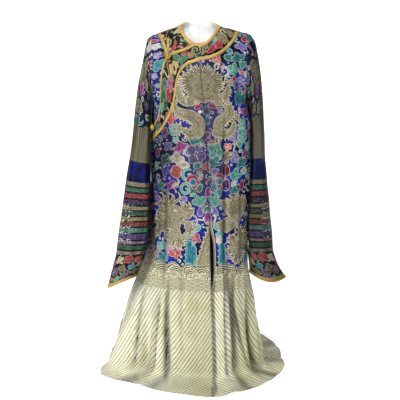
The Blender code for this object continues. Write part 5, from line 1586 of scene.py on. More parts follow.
def sleeve_patch(side, k0, k1, fine, lift=0.0, wall=WALL, dip=0.0, kind=2, round_off=False):
    kk, dist = LENGTHS[side]
    v0, v1 = np.interp([k0, k1], kk, dist)
    girth = 0.60 if k0 < 6 else 0.36
    n_round = int(round(girth / fine / 4)) * 4
    n_down = max(3, int(round((v1 - v0) / fine * (1.25 if k0 < 0 else 1.0))))
    v = np.linspace(v0, v1, n_down + 1)
    k = np.interp(v, dist, kk)
    turn = np.linspace(0, 2 * math.pi, n_round + 1)
    K, T = np.meshgrid(k, turn, indexing="ij")
    V = np.repeat(v[:, None], len(turn), 1)
    P = sleeve_point(side, TABLE[side], K, T)
    dk, dt = 0.02, 0.01
    a = sleeve_point(side, TABLE[side], np.clip(K + dk, -1, 16), T) - sleeve_point(side, TABLE[side], np.clip(K - dk, -1, 16), T)
    b = sleeve_point(side, TABLE[side], K, T + dt) - sleeve_point(side, TABLE[side], K, T - dt)
    n = np.cross(a, b) * side
    n /= np.maximum(np.linalg.norm(n, axis=-1, keepdims=True), 1e-12)
    mid = P.mean(axis=1, keepdims=True)
    n *= np.sign(((P - mid) * n).sum(-1, keepdims=True).mean())
    deg = np.degrees(T)
    d = np.zeros(K.shape)
    for t0, c0, t1, c1, half, depth in SLEEVE_CREASES[WORD[side]]:
        along = (V - c0) / (c1 - c0)
        at = t0 + (t1 - t0) * np.clip(along, 0, 1)
        off = (deg - at + 180) % 360 - 180
        d += depth * step(along, -0.1, 0.3) * (1 - step(along, 0.62, 1.12)) * np.exp(-(off / half) ** 2)
    d += 0.0012 * np.sin(3 * T + 9 * V + side) * np.sin(17 * V + 2 * T)
    d += 0.0005 * np.sin(7 * T - 31 * V + 2)
    total = LENGTHS[side][1][-1]
    d *= step(V, 0.0, 0.05) * step(total - V, 0.0, 0.03)
    inward = step(-np.cos(T), 0.55, 0.90)
    d = d * (1 - inward) + np.minimum(d, 0) * inward * 0.3
    # behind the arm the cloth hangs in towards the body
    d += 0.0175 * np.exp(-((deg - 218) / 28) ** 2) * step(K, 1.5, 3.0) * (1 - step(K, 12.0, 13.5))
    if k0 >= 12.9:
        d *= 0.4
    # more room on the wearer's right, where the overlap's trims end at the side
    clear = 0.0012 + (0.0038 * np.exp(-((P[..., 2] + 0.40) / 0.07) ** 2) if side < 0 else 0.0)
    d = np.minimum(d, room_beside(P, n, K, T) - clear - lift)
    # the pile-up of cloth above the wrist
    if dip:
        down = np.clip((K - CUFF[0]) / (CUFF[1] - CUFF[0]), 0, 1)
        P = P.copy()
        P[..., 2] -= dip * down ** 1.5 * np.clip(np.sin(T), 0, 1) ** 2.5
    prof = 0.0
    if round_off:
        w = np.linspace(0, 1, n_down + 1)[:, None]
        prof = 0.0016 * (1 - (2 * w - 1) ** 4)
    outer = P + n * (d + lift + prof)[..., None]
    inner = P + n * (d - wall)[..., None]
    outer[:, -1], inner[:, -1] = outer[:, 0], inner[:, 0]
    # round the sleeve, measured over the cloth from the front's middle
    ring = np.linalg.norm(np.diff(P, axis=1), axis=2)
    U = np.concatenate([np.zeros((len(k), 1)), np.cumsum(ring, axis=1)], 1)
    U = U - U[:, len(turn) // 4][:, None]
    values = chart(-side * U, V, kind)
    # painted shade: a base of shade over the whole sleeve, much more on the wearer's left, away from the key light, and
    # more on the inner side and in the creases
    dark = step(-np.cos(T), 0.35, 0.85) * 0.85
    far = 0.68 if side > 0 else 0.14
    values["deep"] = np.clip(far + (1 - far) * np.maximum(-d / 0.007, dark), 0, 1)[..., None]
    return outer, inner, values


BODY_TREE = body_tree()
LENGTHS = {}
for side in (-1, 1):
    LENGTHS[side] = sleeve_length(side)
for side in (-1, 1):
    word = WORD[side]
    fine = 0.0029
    dist_at = lambda k: float(np.interp(k, *LENGTHS[side]))
    piece("sleeve_%s_upper" % word, [sleeve_patch(side, -1, UPPER[1], fine, kind=2)],
          paint=paint_sleeve(word, dist_at(5.75 if side < 0 else 5.45)))
    piece("sleeve_%s_band" % word, [sleeve_patch(side, *BAND, 0.0040, kind=3)])
    piece("sleeve_%s_lower" % word, [sleeve_patch(side, *LOWER, 0.0034, kind=4)])
    split = CUFF[1] - 0.38
    piece("cuff_%s" % word, [sleeve_patch(side, CUFF[0], split, 0.0030, dip=CUFF_DIP[word], kind=5)],
          paint=paint_cuff(dist_at(CUFF[0]), -side))
    piece("cuff_%s_binding" % word, [sleeve_patch(side, split, CUFF[1], 0.0022, dip=CUFF_DIP[word], kind=6, round_off=True)])

# ------------------------------------------------------------------ trims
GAP = 0.0006             # between a trim and the panel under it


def on_neck(lines, lift):
    x, run = lines[..., 0], lines[..., 1]
    sunk = np.where((x < -1e-6) & (run > 1e-6), inset(x / HALF, np.abs(run)), 0.0)
    lift = np.broadcast_to(lift, x.shape) + sunk
    f = on_cloth(x / HALF, np.abs(run), 1, lift)
    b = on_cloth(x / HALF, np.abs(run), -1, lift)
    p = np.where((run >= 0)[..., None], f, b)
    p[..., 0] += np.where((np.abs(x) < 1e-6) & (run > 0), SEAM, 0)
    return p


def on_lapel(lines, lift):
    return on_overlap(lines[..., 0] / HALF, lines[..., 1], lift)


def trim(name, near, far, at, thick, n_across, kind, rounded, paint=None):
    """A strip laid on a panel between two lines, its edges turned down."""
    w = np.linspace(0, 1, n_across + 1)
    lines = near[None] * (1 - w)[:, None, None] + far[None] * w[:, None, None]
    bulge = np.sqrt(np.clip(1 - (2 * w - 1) ** 2, 0, 1)) if rounded else np.minimum(1, 6 * np.minimum(w, 1 - w) + 0.45)
    lift = GAP + thick * (0.30 + 0.70 * bulge if rounded else bulge)
    outer = at(lines, lift[:, None] * np.ones(lines.shape[1]))
    inner = at(lines, np.full(lines.shape[:2], GAP * 0.4))
    mid = outer[n_across // 2]
    v = np.concatenate([[0], np.cumsum(np.linalg.norm(np.diff(mid, axis=0), axis=1))])
    wide = np.linalg.norm(np.diff(outer, axis=0), axis=2).sum(0).mean()
    V = np.repeat(v[None, :], n_across + 1, 0)
    U = (w * wide)[:, None] * np.ones(len(v))[None]
    return piece(name, [(outer, inner, chart(U, V, kind))], every=4, paint=paint)


turns = np.arange(0, 342.01, 1.2)
near = neck_line(turns)
near[np.abs(near) < 1e-9] = 0.0
far = facing_far(turns)
marks = strips(near, far, BIND)
corner = int(np.argmin(np.abs(turns - 306)))
trim("neck_binding", marks[0], marks[1], on_neck, TRIM + 0.0012, 8, 6, True)
# the facing: its outer binding stops where it meets the overlap's edge
facing_end = np.where((np.arange(len(turns)) <= corner)[:, None], marks[3], marks[4])
trim("neck_facing", marks[1], facing_end, on_neck, TRIM, 24, 7, False, paint_facing(NECK_MOTIFS, 51, 0.95))
trim("neck_facing_edge", marks[3][:corner + 1], marks[4][:corner + 1], on_neck, TRIM + 0.0008, 8, 6, True)
n_lapel = 170
lapel_near = around_side(LAPEL, n_lapel)
lapel_far = around_side(LAPEL_FACING, n_lapel)
marks = strips(lapel_near, lapel_far, BIND * 0.75)
trim("lapel_edge", marks[0], marks[1], on_lapel, TRIM + 0.0012, 8, 6, True)
trim("lapel_facing", marks[1], marks[3], on_lapel, TRIM, 24, 8, False, paint_facing(LAPEL_MOTIFS, 53, 0.45))
trim("lapel_facing_edge", marks[3], marks[4], on_lapel, TRIM + 0.0008, 8, 6, True)

# ------------------------------------------------------------------ buttons, loops and tabs
STACK = GAP + TRIM + 0.0010        # top of the lapel's edge binding above the cloth
BUTTONS = [
    # name     x        run
    ("collar", -0.1075, 0.1830),
    ("side", -0.1640, 0.4420),
]


def spot(x, run, lift):
    return on_cloth(np.array([x / HALF]), np.array([run]), 1, np.array([lift]))[0]


def plain_mesh(name, verts, faces, values=None):
    me = bpy.data.meshes.new(name)
    me.from_pydata([tuple(map(float, v)) for v in verts], [], faces)
    me.validate()
    me.shade_smooth()
    me.set_sharp_from_angle(angle=math.radians(50))
    n = len(verts)
    store(me, "inside", np.zeros((n, 1)))
    store(me, "at", np.zeros((n, 3)) if values is None else values)
    ob = bpy.data.objects.new(name, me)
    bpy.context.scene.collection.objects.link(ob)
    PIECES[name] = ob
    return ob


def turned(name, foot, axis, outline_rz, n=28, fluting=0):
    """A turned solid about an axis from its foot: radius and height pairs."""
    axis = axis / np.linalg.norm(axis)
    u = np.cross(axis, (0.0, 0.0, 1.0))
    u /= np.linalg.norm(u)
    w = np.cross(axis, u)
    verts, faces = [], []
    for r, h in outline_rz:
        for i in range(n):
            a = 2 * math.pi * i / n
            rr = r * (1 + 0.035 * math.cos(fluting * a)) if fluting else r
            verts.append(foot + axis * h + rr * (math.cos(a) * u + math.sin(a) * w))
    m = len(outline_rz)
    for j in range(m - 1):
        for i in range(n):
            k = (i + 1) % n
            faces.append((j * n + i, j * n + k, (j + 1) * n + k, (j + 1) * n + i))
    faces.append(tuple(range(n))[::-1])
    faces.append(tuple((m - 1) * n + i for i in range(n)))
    return plain_mesh(name, verts, faces)


def cord(name, points, radius, n=12, strands=3, pitch=0.006):
    """A twisted cord along a line."""
    p = np.array(points, float)
    dist = np.concatenate([[0], np.cumsum(np.linalg.norm(np.diff(p, axis=0), axis=1))])
    verts, values, faces = [], [], []
    for i in range(len(p)):
        d = p[min(i + 1, len(p) - 1)] - p[max(i - 1, 0)]
        d /= np.linalg.norm(d)
        u = np.cross(d, (0, 1, 0.2))
        u /= np.linalg.norm(u)
        w = np.cross(d, u)
        for j in range(n):
            a = 2 * math.pi * j / n
            r = radius * (1 + 0.14 * math.cos(strands * a - 2 * math.pi * dist[i] / pitch))
            verts.append(p[i] + r * (math.cos(a) * u + math.sin(a) * w))
            values.append((radius * a, dist[i], 6.0))
    for i in range(len(p) - 1):
        for j in range(n):
            k = (j + 1) % n
            faces.append((i * n + j, i * n + k, (i + 1) * n + k, (i + 1) * n + j))
    faces += [tuple(range(n))[::-1], tuple((len(p) - 1) * n + j for j in range(n))]
    return plain_mesh(name, verts, faces, np.array(values))


for name, bx, brun in BUTTONS:
    root = spot(bx, brun, STACK + 0.0004)
    top = spot(bx, brun, STACK + 0.0004 + BUTTON_R)
    axis = (top - root) / np.linalg.norm(top - root)
    r = BUTTON_R
    shape = [(0.0021, 0.0), (0.0024, 0.0006), (0.0022, 0.0014)]
    shape += [(r * math.sin(a), r - r * 0.97 * math.cos(a)) for a in np.linspace(0.30, math.pi - 0.02, 15)]
    turned("button_" + name, root, axis, shape, fluting=9)
    u = spot(bx, brun - 0.002, 0) - spot(bx, brun + 0.002, 0)
    u -= axis * np.dot(axis, u)
    u /= np.linalg.norm(u)
    w = np.cross(axis, u)
    r_loop = BUTTON_R + 0.0022
    centre = root + axis * (BUTTON_R * 0.95 + 0.0004)
    cord("loop_" + name, [centre + r_loop * (math.cos(t) * u + math.sin(t) * w)
                          for t in np.radians(np.linspace(32, 328, 45))], 0.0017)

TABS = [
    # name          x0      run0   x1      run1   wide
    ("tab_up", -0.1130, 0.1560, -0.1120, 0.0950, 0.0080),
    ("tab_down_a", -0.1050, 0.2120, -0.0990, 0.2520, 0.0075),
    ("tab_down_b", -0.0930, 0.2020, -0.0800, 0.2330, 0.0075),
]
for name, x0, r0, x1, r1, wide in TABS:
    m = 30
    t = np.linspace(0, 1, m + 1)
    mid = np.stack([x0 + (x1 - x0) * t, r0 + (r1 - r0) * t], -1)
    d = np.array([x1 - x0, r1 - r0])
    d /= np.linalg.norm(d)
    side_way = np.array([-d[1], d[0]])
    ends = np.sqrt(np.clip(1 - (2 * t - 1) ** 10, 0.02, 1))[:, None]
    a, b = mid + side_way * wide / 2 * ends, mid - side_way * wide / 2 * ends
    w = np.linspace(0, 1, 7)
    lines = a[None] * (1 - w)[:, None, None] + b[None] * w[:, None, None]
    sunk = inset(mid[:, 0] / HALF, mid[:, 1]) if name == "tab_up" else np.zeros(m + 1)
    top = 0.0046 + 0.0012 * np.sqrt(np.clip(1 - (2 * w - 1) ** 2, 0, 1))
    f = lambda lift: on_cloth(lines[..., 0] / HALF, lines[..., 1], 1, lift + sunk[None])
    outer = f(top[:, None] * np.ones(m + 1)[None])
    inner = f(np.full(lines.shape[:2], 0.0040))
    length = math.hypot(x1 - x0, r1 - r0)
    V = np.repeat((t * length)[None], 7, 0)
    U = (w * wide)[:, None] * np.ones(m + 1)[None]
    piece(name, [(outer, inner, chart(U, V, 6))], every=4)

# ------------------------------------------------------------------ materials
def srgb(hexa):
    return (*silk(hexa), 1.0)


class Nodes:
    """Small helper for shader graphs."""

    def __init__(self, name):
        self.mat = bpy.data.materials.new(name)
        self.mat.use_nodes = True
        self.tree = self.mat.node_tree
        self.tree.nodes.clear()
        self.out = self.tree.nodes.new("ShaderNodeOutputMaterial")
        self.bsdf = self.tree.nodes.new("ShaderNodeBsdfPrincipled")
        self.tree.links.new(self.bsdf.outputs[0], self.out.inputs[0])
        self.seen = {}

    def put(self, socket, value):
        if isinstance(value, bpy.types.NodeSocket):
            self.tree.links.new(value, socket)
        elif isinstance(value, (tuple, list)) and len(value) == 3 and socket.type == "RGBA":
            socket.default_value = (*value, 1.0)
        else:
            socket.default_value = value

    def attribute(self, key, output="Fac"):
        if key not in self.seen:
            n = self.tree.nodes.new("ShaderNodeAttribute")
            n.attribute_name = key
            self.seen[key] = n
        return self.seen[key].outputs[output]

    def math(self, op, a, b=0.0, c=0.0, clamp=False):
        n = self.tree.nodes.new("ShaderNodeMath")
        n.operation = op
        n.use_clamp = clamp
        for s, v in zip(n.inputs, (a, b, c)):
            self.put(s, v)
        return n.outputs[0]

    def split(self, vector):
        n = self.tree.nodes.new("ShaderNodeSeparateXYZ")
        self.put(n.inputs[0], vector)
        return n.outputs

    def join(self, x, y, z=0.0):
        n = self.tree.nodes.new("ShaderNodeCombineXYZ")
        for s, v in zip(n.inputs, (x, y, z)):
            self.put(s, v)
        return n.outputs[0]

    def ramp(self, x, a, b, lo=0.0, hi=1.0):
        """Soft step of x from a to b."""
        n = self.tree.nodes.new("ShaderNodeMapRange")
        n.interpolation_type = "SMOOTHSTEP"
        for s, v in zip(n.inputs, (x, a, b, lo, hi)):
            self.put(s, v)
        return n.outputs[0]

    def mix(self, f, a, b, mode="MIX"):
        n = self.tree.nodes.new("ShaderNodeMix")
        n.data_type = "RGBA"
        n.blend_type = mode
        n.clamp_factor = True
        self.put(n.inputs[0], f)
        self.put(n.inputs[6], a)
        self.put(n.inputs[7], b)
        return n.outputs[2]

    def noise(self, vector, scale, detail=2.0, rough=0.5, colour=False):
        n = self.tree.nodes.new("ShaderNodeTexNoise")
        self.put(n.inputs["Vector"], vector)
        n.inputs["Scale"].default_value = scale
        n.inputs["Detail"].default_value = detail
        n.inputs["Roughness"].default_value = rough
        return n.outputs["Color" if colour else "Fac"]

    def voronoi(self, vector, scale, feature="F1", rand=1.0):
        n = self.tree.nodes.new("ShaderNodeTexVoronoi")
        n.feature = feature
        self.put(n.inputs["Vector"], vector)
        n.inputs["Scale"].default_value = scale
        n.inputs["Randomness"].default_value = rand
        return n.outputs["Distance"]

    def bump(self, height, strength, distance, normal=None):
        n = self.tree.nodes.new("ShaderNodeBump")
        n.inputs["Strength"].default_value = strength
        n.inputs["Distance"].default_value = distance
        self.put(n.inputs["Height"], height)
        if normal is not None:
            self.put(n.inputs["Normal"], normal)
        return n.outputs[0]

    def set(self, **values):
        for key, value in values.items():
            self.put(self.bsdf.inputs[key.replace("_", " ")], value)
        return self


def lining_and_inner_shade(g, v, colour):
    """The inner side: pale silk near the neck; further down, and all over the inside of the fronts, a near-black
    painted shade.
    """
    panel = g.split(g.attribute("at", "Vector"))[2]
    dark = g.math("MAXIMUM", g.ramp(v, 0.13, 0.22), g.math("LESS_THAN", panel, 0.5))
    inner = g.mix(dark, srgb("ffffff"), srgb("1b1a1c"))
    return g.mix(g.attribute("inside"), colour, inner)


def shaded(g, colour, most=0.70, tint="464650"):
    """Painted shade: the colour is darkened a little towards a tint in creases and against a sleeve, as the deep
    attribute marks.
    """
    return g.mix(g.math("MULTIPLY", g.attribute("deep"), most), colour, g.mix(1.0, colour, srgb(tint), "MULTIPLY"))


def lines_of(g, x, pitch, width):
    """1 on thin lines every pitch across x."""
    f = g.math("FRACT", g.math("DIVIDE", x, pitch))
    d = g.math("ABSOLUTE", g.math("SUBTRACT", f, 0.5))
    return g.ramp(d, 0.5 - width / pitch * 0.5 - 0.03, 0.5 - width / pitch * 0.5 + 0.03)


def foam(g, u, v, radius, ring):
    """Close rows of round waves, each row half a wave along: 1 on the drawn rings."""
    h = radius / 2
    row = g.math("CEIL", g.math("DIVIDE", v, h))
    even = g.math("PINGPONG", row, 1.0)

    def across(parity):
        x = g.math("ADD", g.math("DIVIDE", u, 2 * radius), g.math("MULTIPLY", parity, 0.5))
        return g.math("MULTIPLY", g.math("SUBTRACT", g.math("FRACT", x), 0.5), 2 * radius)

    def away(du, n):
        dv = g.math("SUBTRACT", g.math("MULTIPLY", g.math("ADD", row, n), h), v)
        return g.math("SQRT", g.math("ADD", g.math("MULTIPLY", du, du), g.math("MULTIPLY", dv, dv)))

    a, b = across(g.math("SUBTRACT", 1.0, even)), across(even)
    low, mid, up = away(a, 1.0), away(b, 0.0), away(a, -1.0)
    in_low, in_mid = g.math("LESS_THAN", low, radius), g.math("LESS_THAN", mid, radius)
    rest = g.math("ADD", g.math("MULTIPLY", in_mid, mid), g.math("MULTIPLY", g.math("SUBTRACT", 1.0, in_mid), up))
    d = g.math("ADD", g.math("MULTIPLY", in_low, low), g.math("MULTIPLY", g.math("SUBTRACT", 1.0, in_low), rest))
    f = g.math("FRACT", g.math("DIVIDE", g.math("SUBTRACT", radius, d), ring))
    return g.ramp(g.math("ABSOLUTE", g.math("SUBTRACT", f, 0.32)), 0.30, 0.16)


def patterned(name, ground_a, ground_b, sheen_strip, stripes=True, outline="f0eed6", sleeve=False, gold_dim=1.0):
    g = Nodes(name)
    at = g.attribute("at", "Vector")
    u, v, _ = g.split(at)
    sd, line, gold, zone = (g.attribute(k) for k in ("sd", "line", "gold", "zone"))
    tint = g.attribute("tint", "Vector")
    # ground: twill silk, uneven
    blotch = g.noise(at, 9.0, 3.0)
    ground = g.mix(g.ramp(blotch, 0.38, 0.66), ground_a, ground_b)
    thread = g.noise(g.join(g.math("MULTIPLY", u, 1.0), g.math("MULTIPLY", v, 0.12)), 900.0, 1.0)
    # painted sheen: a broad grey-violet highlight on the ground down the centre front
    if sheen_strip:
        d = g.math("ABSOLUTE", g.math("SUBTRACT", u, -0.005))
        soft = g.math("MULTIPLY", g.ramp(d, 0.085, 0.030), g.math("MULTIPLY", g.ramp(v, 0.17, 0.26), g.ramp(v, 0.84, 0.60)))
        soft = g.math("MULTIPLY", soft, g.ramp(g.noise(at, 22.0, 2.0), 0.20, 0.55))
        ground = g.mix(g.math("MULTIPLY", soft, 0.92), ground, srgb("2f2c50"))
    # motif: pale couched edge, a darker line inside it, a deeper middle
    soft_tint = g.mix(1.0, tint, srgb("b0b0b8"), "MULTIPLY")
    deep = g.mix(g.ramp(sd, 0.0030, 0.0090), tint, soft_tint)
    deep = g.mix(g.math("MULTIPLY", g.ramp(thread, 0.42, 0.62), 0.30), deep, g.mix(1.0, tint, srgb("7c7c88"), "MULTIPLY"))
    inner_line = g.math("MULTIPLY", g.ramp(sd, 0.0018, 0.0024), g.ramp(sd, 0.0036, 0.0028))
    deep = g.mix(g.math("MULTIPLY", inner_line, 0.42), deep, g.mix(1.0, tint, srgb("50506a"), "MULTIPLY"))
    edge = g.mix(0.60, tint, srgb(outline))
    body = g.mix(g.ramp(sd, 0.0020, 0.0012), deep, edge)
    drawn = g.ramp(line, 0.0013, 0.0006)
    body = g.mix(g.math("MULTIPLY", drawn, 0.50), body, g.mix(0.40, tint, srgb(outline)))
    # painted highlight: random pale flecks over the motifs
    bright = g.ramp(g.noise(at, 130.0, 2.0), 0.56, 0.74)
    body = g.mix(g.math("MULTIPLY", bright, 0.38), body, g.mix(0.55, tint, srgb("fbfaf0")))
    if sheen_strip:
        # painted sheen along the centre: the motifs are veiled towards grey-violet
        body = g.mix(g.math("MULTIPLY", soft, 0.52), body, srgb("34344e"))
    body = g.mix(1.0, body, srgb("d4d4da"), "MULTIPLY")
    # gold thread: laid in rows that follow the edge, with scales and drawn lines
    scale_uv = g.join(g.math("MULTIPLY", u, 1.0), g.math("MULTIPLY", v, 0.85))
    cell = g.voronoi(scale_uv, 210.0, "F1", 0.55)
    grain = g.noise(at, 420.0, 2.0, 0.6)
    rows = g.math("ABSOLUTE", g.math("SUBTRACT", g.math("FRACT", g.math("DIVIDE", sd, 0.0034)), 0.5))
    k = gold_dim
    g1 = g.mix(g.ramp(cell, 0.34, 0.66), srgb("948c70" if k == 1.0 else "645f46"), srgb("625c44" if k == 1.0 else "322e1c"))
    g1 = g.mix(g.ramp(grain, 0.45, 0.80), g1, srgb("b5ad92" if k == 1.0 else "7d7758"))
    g1 = g.mix(g.math("MULTIPLY", g.ramp(rows, 0.34, 0.46), 0.38), g1, srgb("3a3522"))
    g1 = g.mix(g.math("MULTIPLY", g.ramp(line, 0.0017, 0.0008), 0.85), g1, srgb("2a2516"))
    g1 = g.mix(g.ramp(sd, 0.0022, 0.0013), g1, srgb("bcb498" if k == 1.0 else "7f795a"))
    # painted sheen along the centre: the gold is veiled towards a dull grey khaki
    if sheen_strip:
        g1 = g.mix(g.math("MULTIPLY", soft, 0.34), g1, srgb("484434"))
    # waves: khaki with pale lines
    wash = g.math("MULTIPLY", g.math("SUBTRACT", g.noise(at, 16.0, 1.0), 0.5), 0.006)
    small = foam(g, g.math("ADD", u, wash), g.math("ADD", v, wash), 0.0165, 0.0055)
    big = g.ramp(line, 0.0026, 0.0012)
    lower = g.ramp(g.math("SUBTRACT", v, g.math("MULTIPLY", g.math("ABSOLUTE", g.math("SINE", g.math("MULTIPLY", u, 98.0))), 0.006)), 0.985, 0.9865)
    drawn = g.math("ADD", g.math("MULTIPLY", small, lower), g.math("MULTIPLY", big, g.math("SUBTRACT", 1.0, lower)))
    g2 = g.mix(drawn, srgb("4f4c36"), srgb("c6c3a6"))
    g2 = g.mix(g.math("MULTIPLY", g.ramp(grain, 0.40, 0.75), 0.28), g2, srgb("8f8a68"))
    body = g.mix(g.ramp(gold, 0.40, 0.50), body, g2)
    body = g.mix(g.ramp(gold, 0.70, 0.90), body, g1)
    inside = g.ramp(sd, -0.0003, 0.0003)
    colour = g.mix(inside, ground, body)
    if stripes:
        # slanting stripes to the hem, meeting in a chevron at the centre
        s = g.math("SUBTRACT", g.math("ABSOLUTE", u), g.math("MULTIPLY", v, 0.68))
        wob = g.math("MULTIPLY", g.math("SUBTRACT", g.noise(at, 26.0, 1.0), 0.5), 0.004)
        s = g.math("ADD", s, wob)
        # silk laid across each stripe in short close rows
        r = g.math("ADD", g.math("MULTIPLY", g.math("ABSOLUTE", u), 0.68), v)
        ribs = lines_of(g, g.math("ADD", r, g.math("MULTIPLY", s, 0.35)), 0.0052, 0.0018)
        pale = g.mix(g.ramp(g.noise(g.join(s, g.math("MULTIPLY", v, 0.05)), 160.0, 1.0), 0.35, 0.65), srgb("d2d0b2"), srgb("ebe9d2"))
        worn = g.ramp(g.noise(at, 17.0, 4.0, 0.6), 0.40, 0.66)
        pale = g.mix(g.math("MULTIPLY", worn, 0.45), pale, srgb("b4b08a"))
        pale = g.mix(g.math("MULTIPLY", ribs, 0.34), pale, srgb("8b8864"))
        fine = lines_of(g, s, 0.0138 / 3, 0.0011)
        pale = g.mix(g.math("MULTIPLY", fine, 0.22), pale, srgb("86845a"))
        # age: cooler and warmer patches over the skirt
        pale = g.mix(g.math("MULTIPLY", g.ramp(g.noise(at, 2.6, 2.0), 0.42, 0.62), 0.42), pale, srgb("a9ada6"))
        pale = g.mix(g.math("MULTIPLY", g.ramp(g.noise(at, 4.3, 2.0), 0.52, 0.68), 0.35), pale, srgb("b3ad74"))
        front = g.math("LESS_THAN", g.split(at)[2], 0.5)
        # the front's stripes are darker and browner towards the centre seam on the wearer's right
        darker_mid = g.math("MULTIPLY", g.ramp(u, -0.20, -0.05), g.ramp(u, 0.004, 0.0))
        pale = g.mix(g.math("MULTIPLY", g.math("MULTIPLY", darker_mid, front), 0.55), pale, srgb("a39c74"))
        # painted shade: the front's stripes darker on the wearer's left, away from the key light
        pale = g.mix(g.math("MULTIPLY", g.math("MULTIPLY", g.ramp(u, 0.045, 0.12), front), 0.45), pale, srgb("97976c"))
        dark = lines_of(g, s, 0.0138, 0.0025)
        st = g.mix(dark, pale, srgb("3a3820"))
        if sleeve:
            # lines down the arm that bend to a point at the front
            q = g.math("ADD", g.math("ABSOLUTE", u), g.math("MULTIPLY", g.ramp(zone, 0.06, 0.13), g.math("MULTIPLY", zone, 0.9)))
            dark = lines_of(g, q, 0.0078, 0.0026)
            st = g.mix(dark, srgb("6c6850"), srgb("1c1a14"))
            st = g.mix(g.math("MULTIPLY", g.ramp(grain, 0.45, 0.75), 0.4), st, srgb("8e8a70"))
        colour = g.mix(g.ramp(zone, -0.0004, 0.0004), colour, st)
    # silk weave
    weave = g.noise(at, 900.0, 2.0)
    # painted shade in creases and beside the sleeves
    colour = shaded(g, colour)
    colour = lining_and_inner_shade(g, v, colour)
    h = g.math("ADD", g.math("MULTIPLY", g.ramp(sd, -0.0012, 0.0016), 0.55), g.math("MULTIPLY", weave, 0.16))
    h = g.math("SUBTRACT", h, g.math("MULTIPLY", g.ramp(line, 0.0018, 0.0004), 0.22))
    g.set(Base_Color=colour, Normal=g.bump(h, 0.55, 0.0008), Roughness=0.50)
    b = g.bsdf.inputs
    b["Sheen Weight"].default_value = 0.015
    b["Sheen Roughness"].default_value = 0.4
    b["Specular IOR Level"].default_value = 0.16
    return g.mat


def braid(name="gold_braid"):
    g = Nodes(name)
    at = g.attribute("at", "Vector")
    u, v, _ = g.split(at)
    zig = g.math("ADD", v, g.math("MULTIPLY", g.math("ABSOLUTE", g.math("SUBTRACT", g.math("FRACT", g.math("DIVIDE", u, 0.0048)), 0.5)), 0.0040))
    rib = g.math("SINE", g.math("MULTIPLY", zig, 2 * math.pi / 0.0026))
    thread = g.noise(at, 520.0, 2.0)
    worn = g.ramp(g.noise(at, 30.0, 3.0, 0.6), 0.40, 0.72)
    c = g.mix(g.ramp(rib, -0.8, 0.9), srgb("84641f"), srgb("dcb654"))
    c = g.mix(g.math("MULTIPLY", worn, 0.55), c, srgb("977a3c"))
    c = g.mix(g.math("MULTIPLY", g.ramp(thread, 0.5, 0.8), 0.4), c, srgb("ead79a"))
    c = shaded(g, c, 0.8, "50401c")
    h = g.math("ADD", g.math("MULTIPLY", rib, 0.5), g.math("MULTIPLY", thread, 0.5))
    g.set(Base_Color=c, Roughness=0.42, Metallic=0.20, Normal=g.bump(h, 0.6, 0.0005))
    g.bsdf.inputs["Specular IOR Level"].default_value = 0.5
    return g.mat


def gilt():
    g = Nodes("gilt")
    n = g.tree.nodes.new("ShaderNodeTexCoord")
    spots = g.noise(n.outputs["Object"], 260.0, 3.0)
    c = g.mix(g.ramp(spots, 0.40, 0.70), srgb("d9a544"), srgb("8a6020"))
    g.set(Base_Color=c, Metallic=1.0, Roughness=g.ramp(spots, 0.3, 0.7, 0.24, 0.42), Normal=g.bump(spots, 0.15, 0.0004))
    return g.mat


def plain_blue():
    g = Nodes("blue_silk")
    at = g.attribute("at", "Vector")
    u, v, _ = g.split(at)
    tone = g.noise(at, 30.0, 3.0)
    small = g.voronoi(at, 62.0, "F1", 0.9)
    c = g.mix(g.ramp(tone, 0.35, 0.70), srgb("03062c"), srgb("0a1560"))
    c = g.mix(g.math("MULTIPLY", g.ramp(small, 0.20, 0.12), 0.25), c, srgb("2c4aa8"))
    c = lining_and_inner_shade(g, v, shaded(g, c, 0.85))
    weave = g.noise(g.join(g.math("MULTIPLY", u, 3.0), v), 600.0, 2.0)
    g.set(Base_Color=c, Roughness=0.42, Normal=g.bump(weave, 0.25, 0.0004))
    g.bsdf.inputs["Sheen Weight"].default_value = 0.01
    g.bsdf.inputs["Specular IOR Level"].default_value = 0.10
    return g.mat


BANDS = [
    # share of the lower sleeve where the band ends, silk
    (0.070, "6e684c"), (0.148, "1c5c46"), (0.235, "7a2232"), (0.325, "160f36"), (0.392, "7c7450"), (0.470, "123e2e"),
    (0.542, "78703e"), (0.622, "6c1e2a"), (0.705, "35705e"), (0.805, "3a2a60"), (0.862, "786272"), (0.945, "0c4a30"),
    (1.001, "726a62"),
]


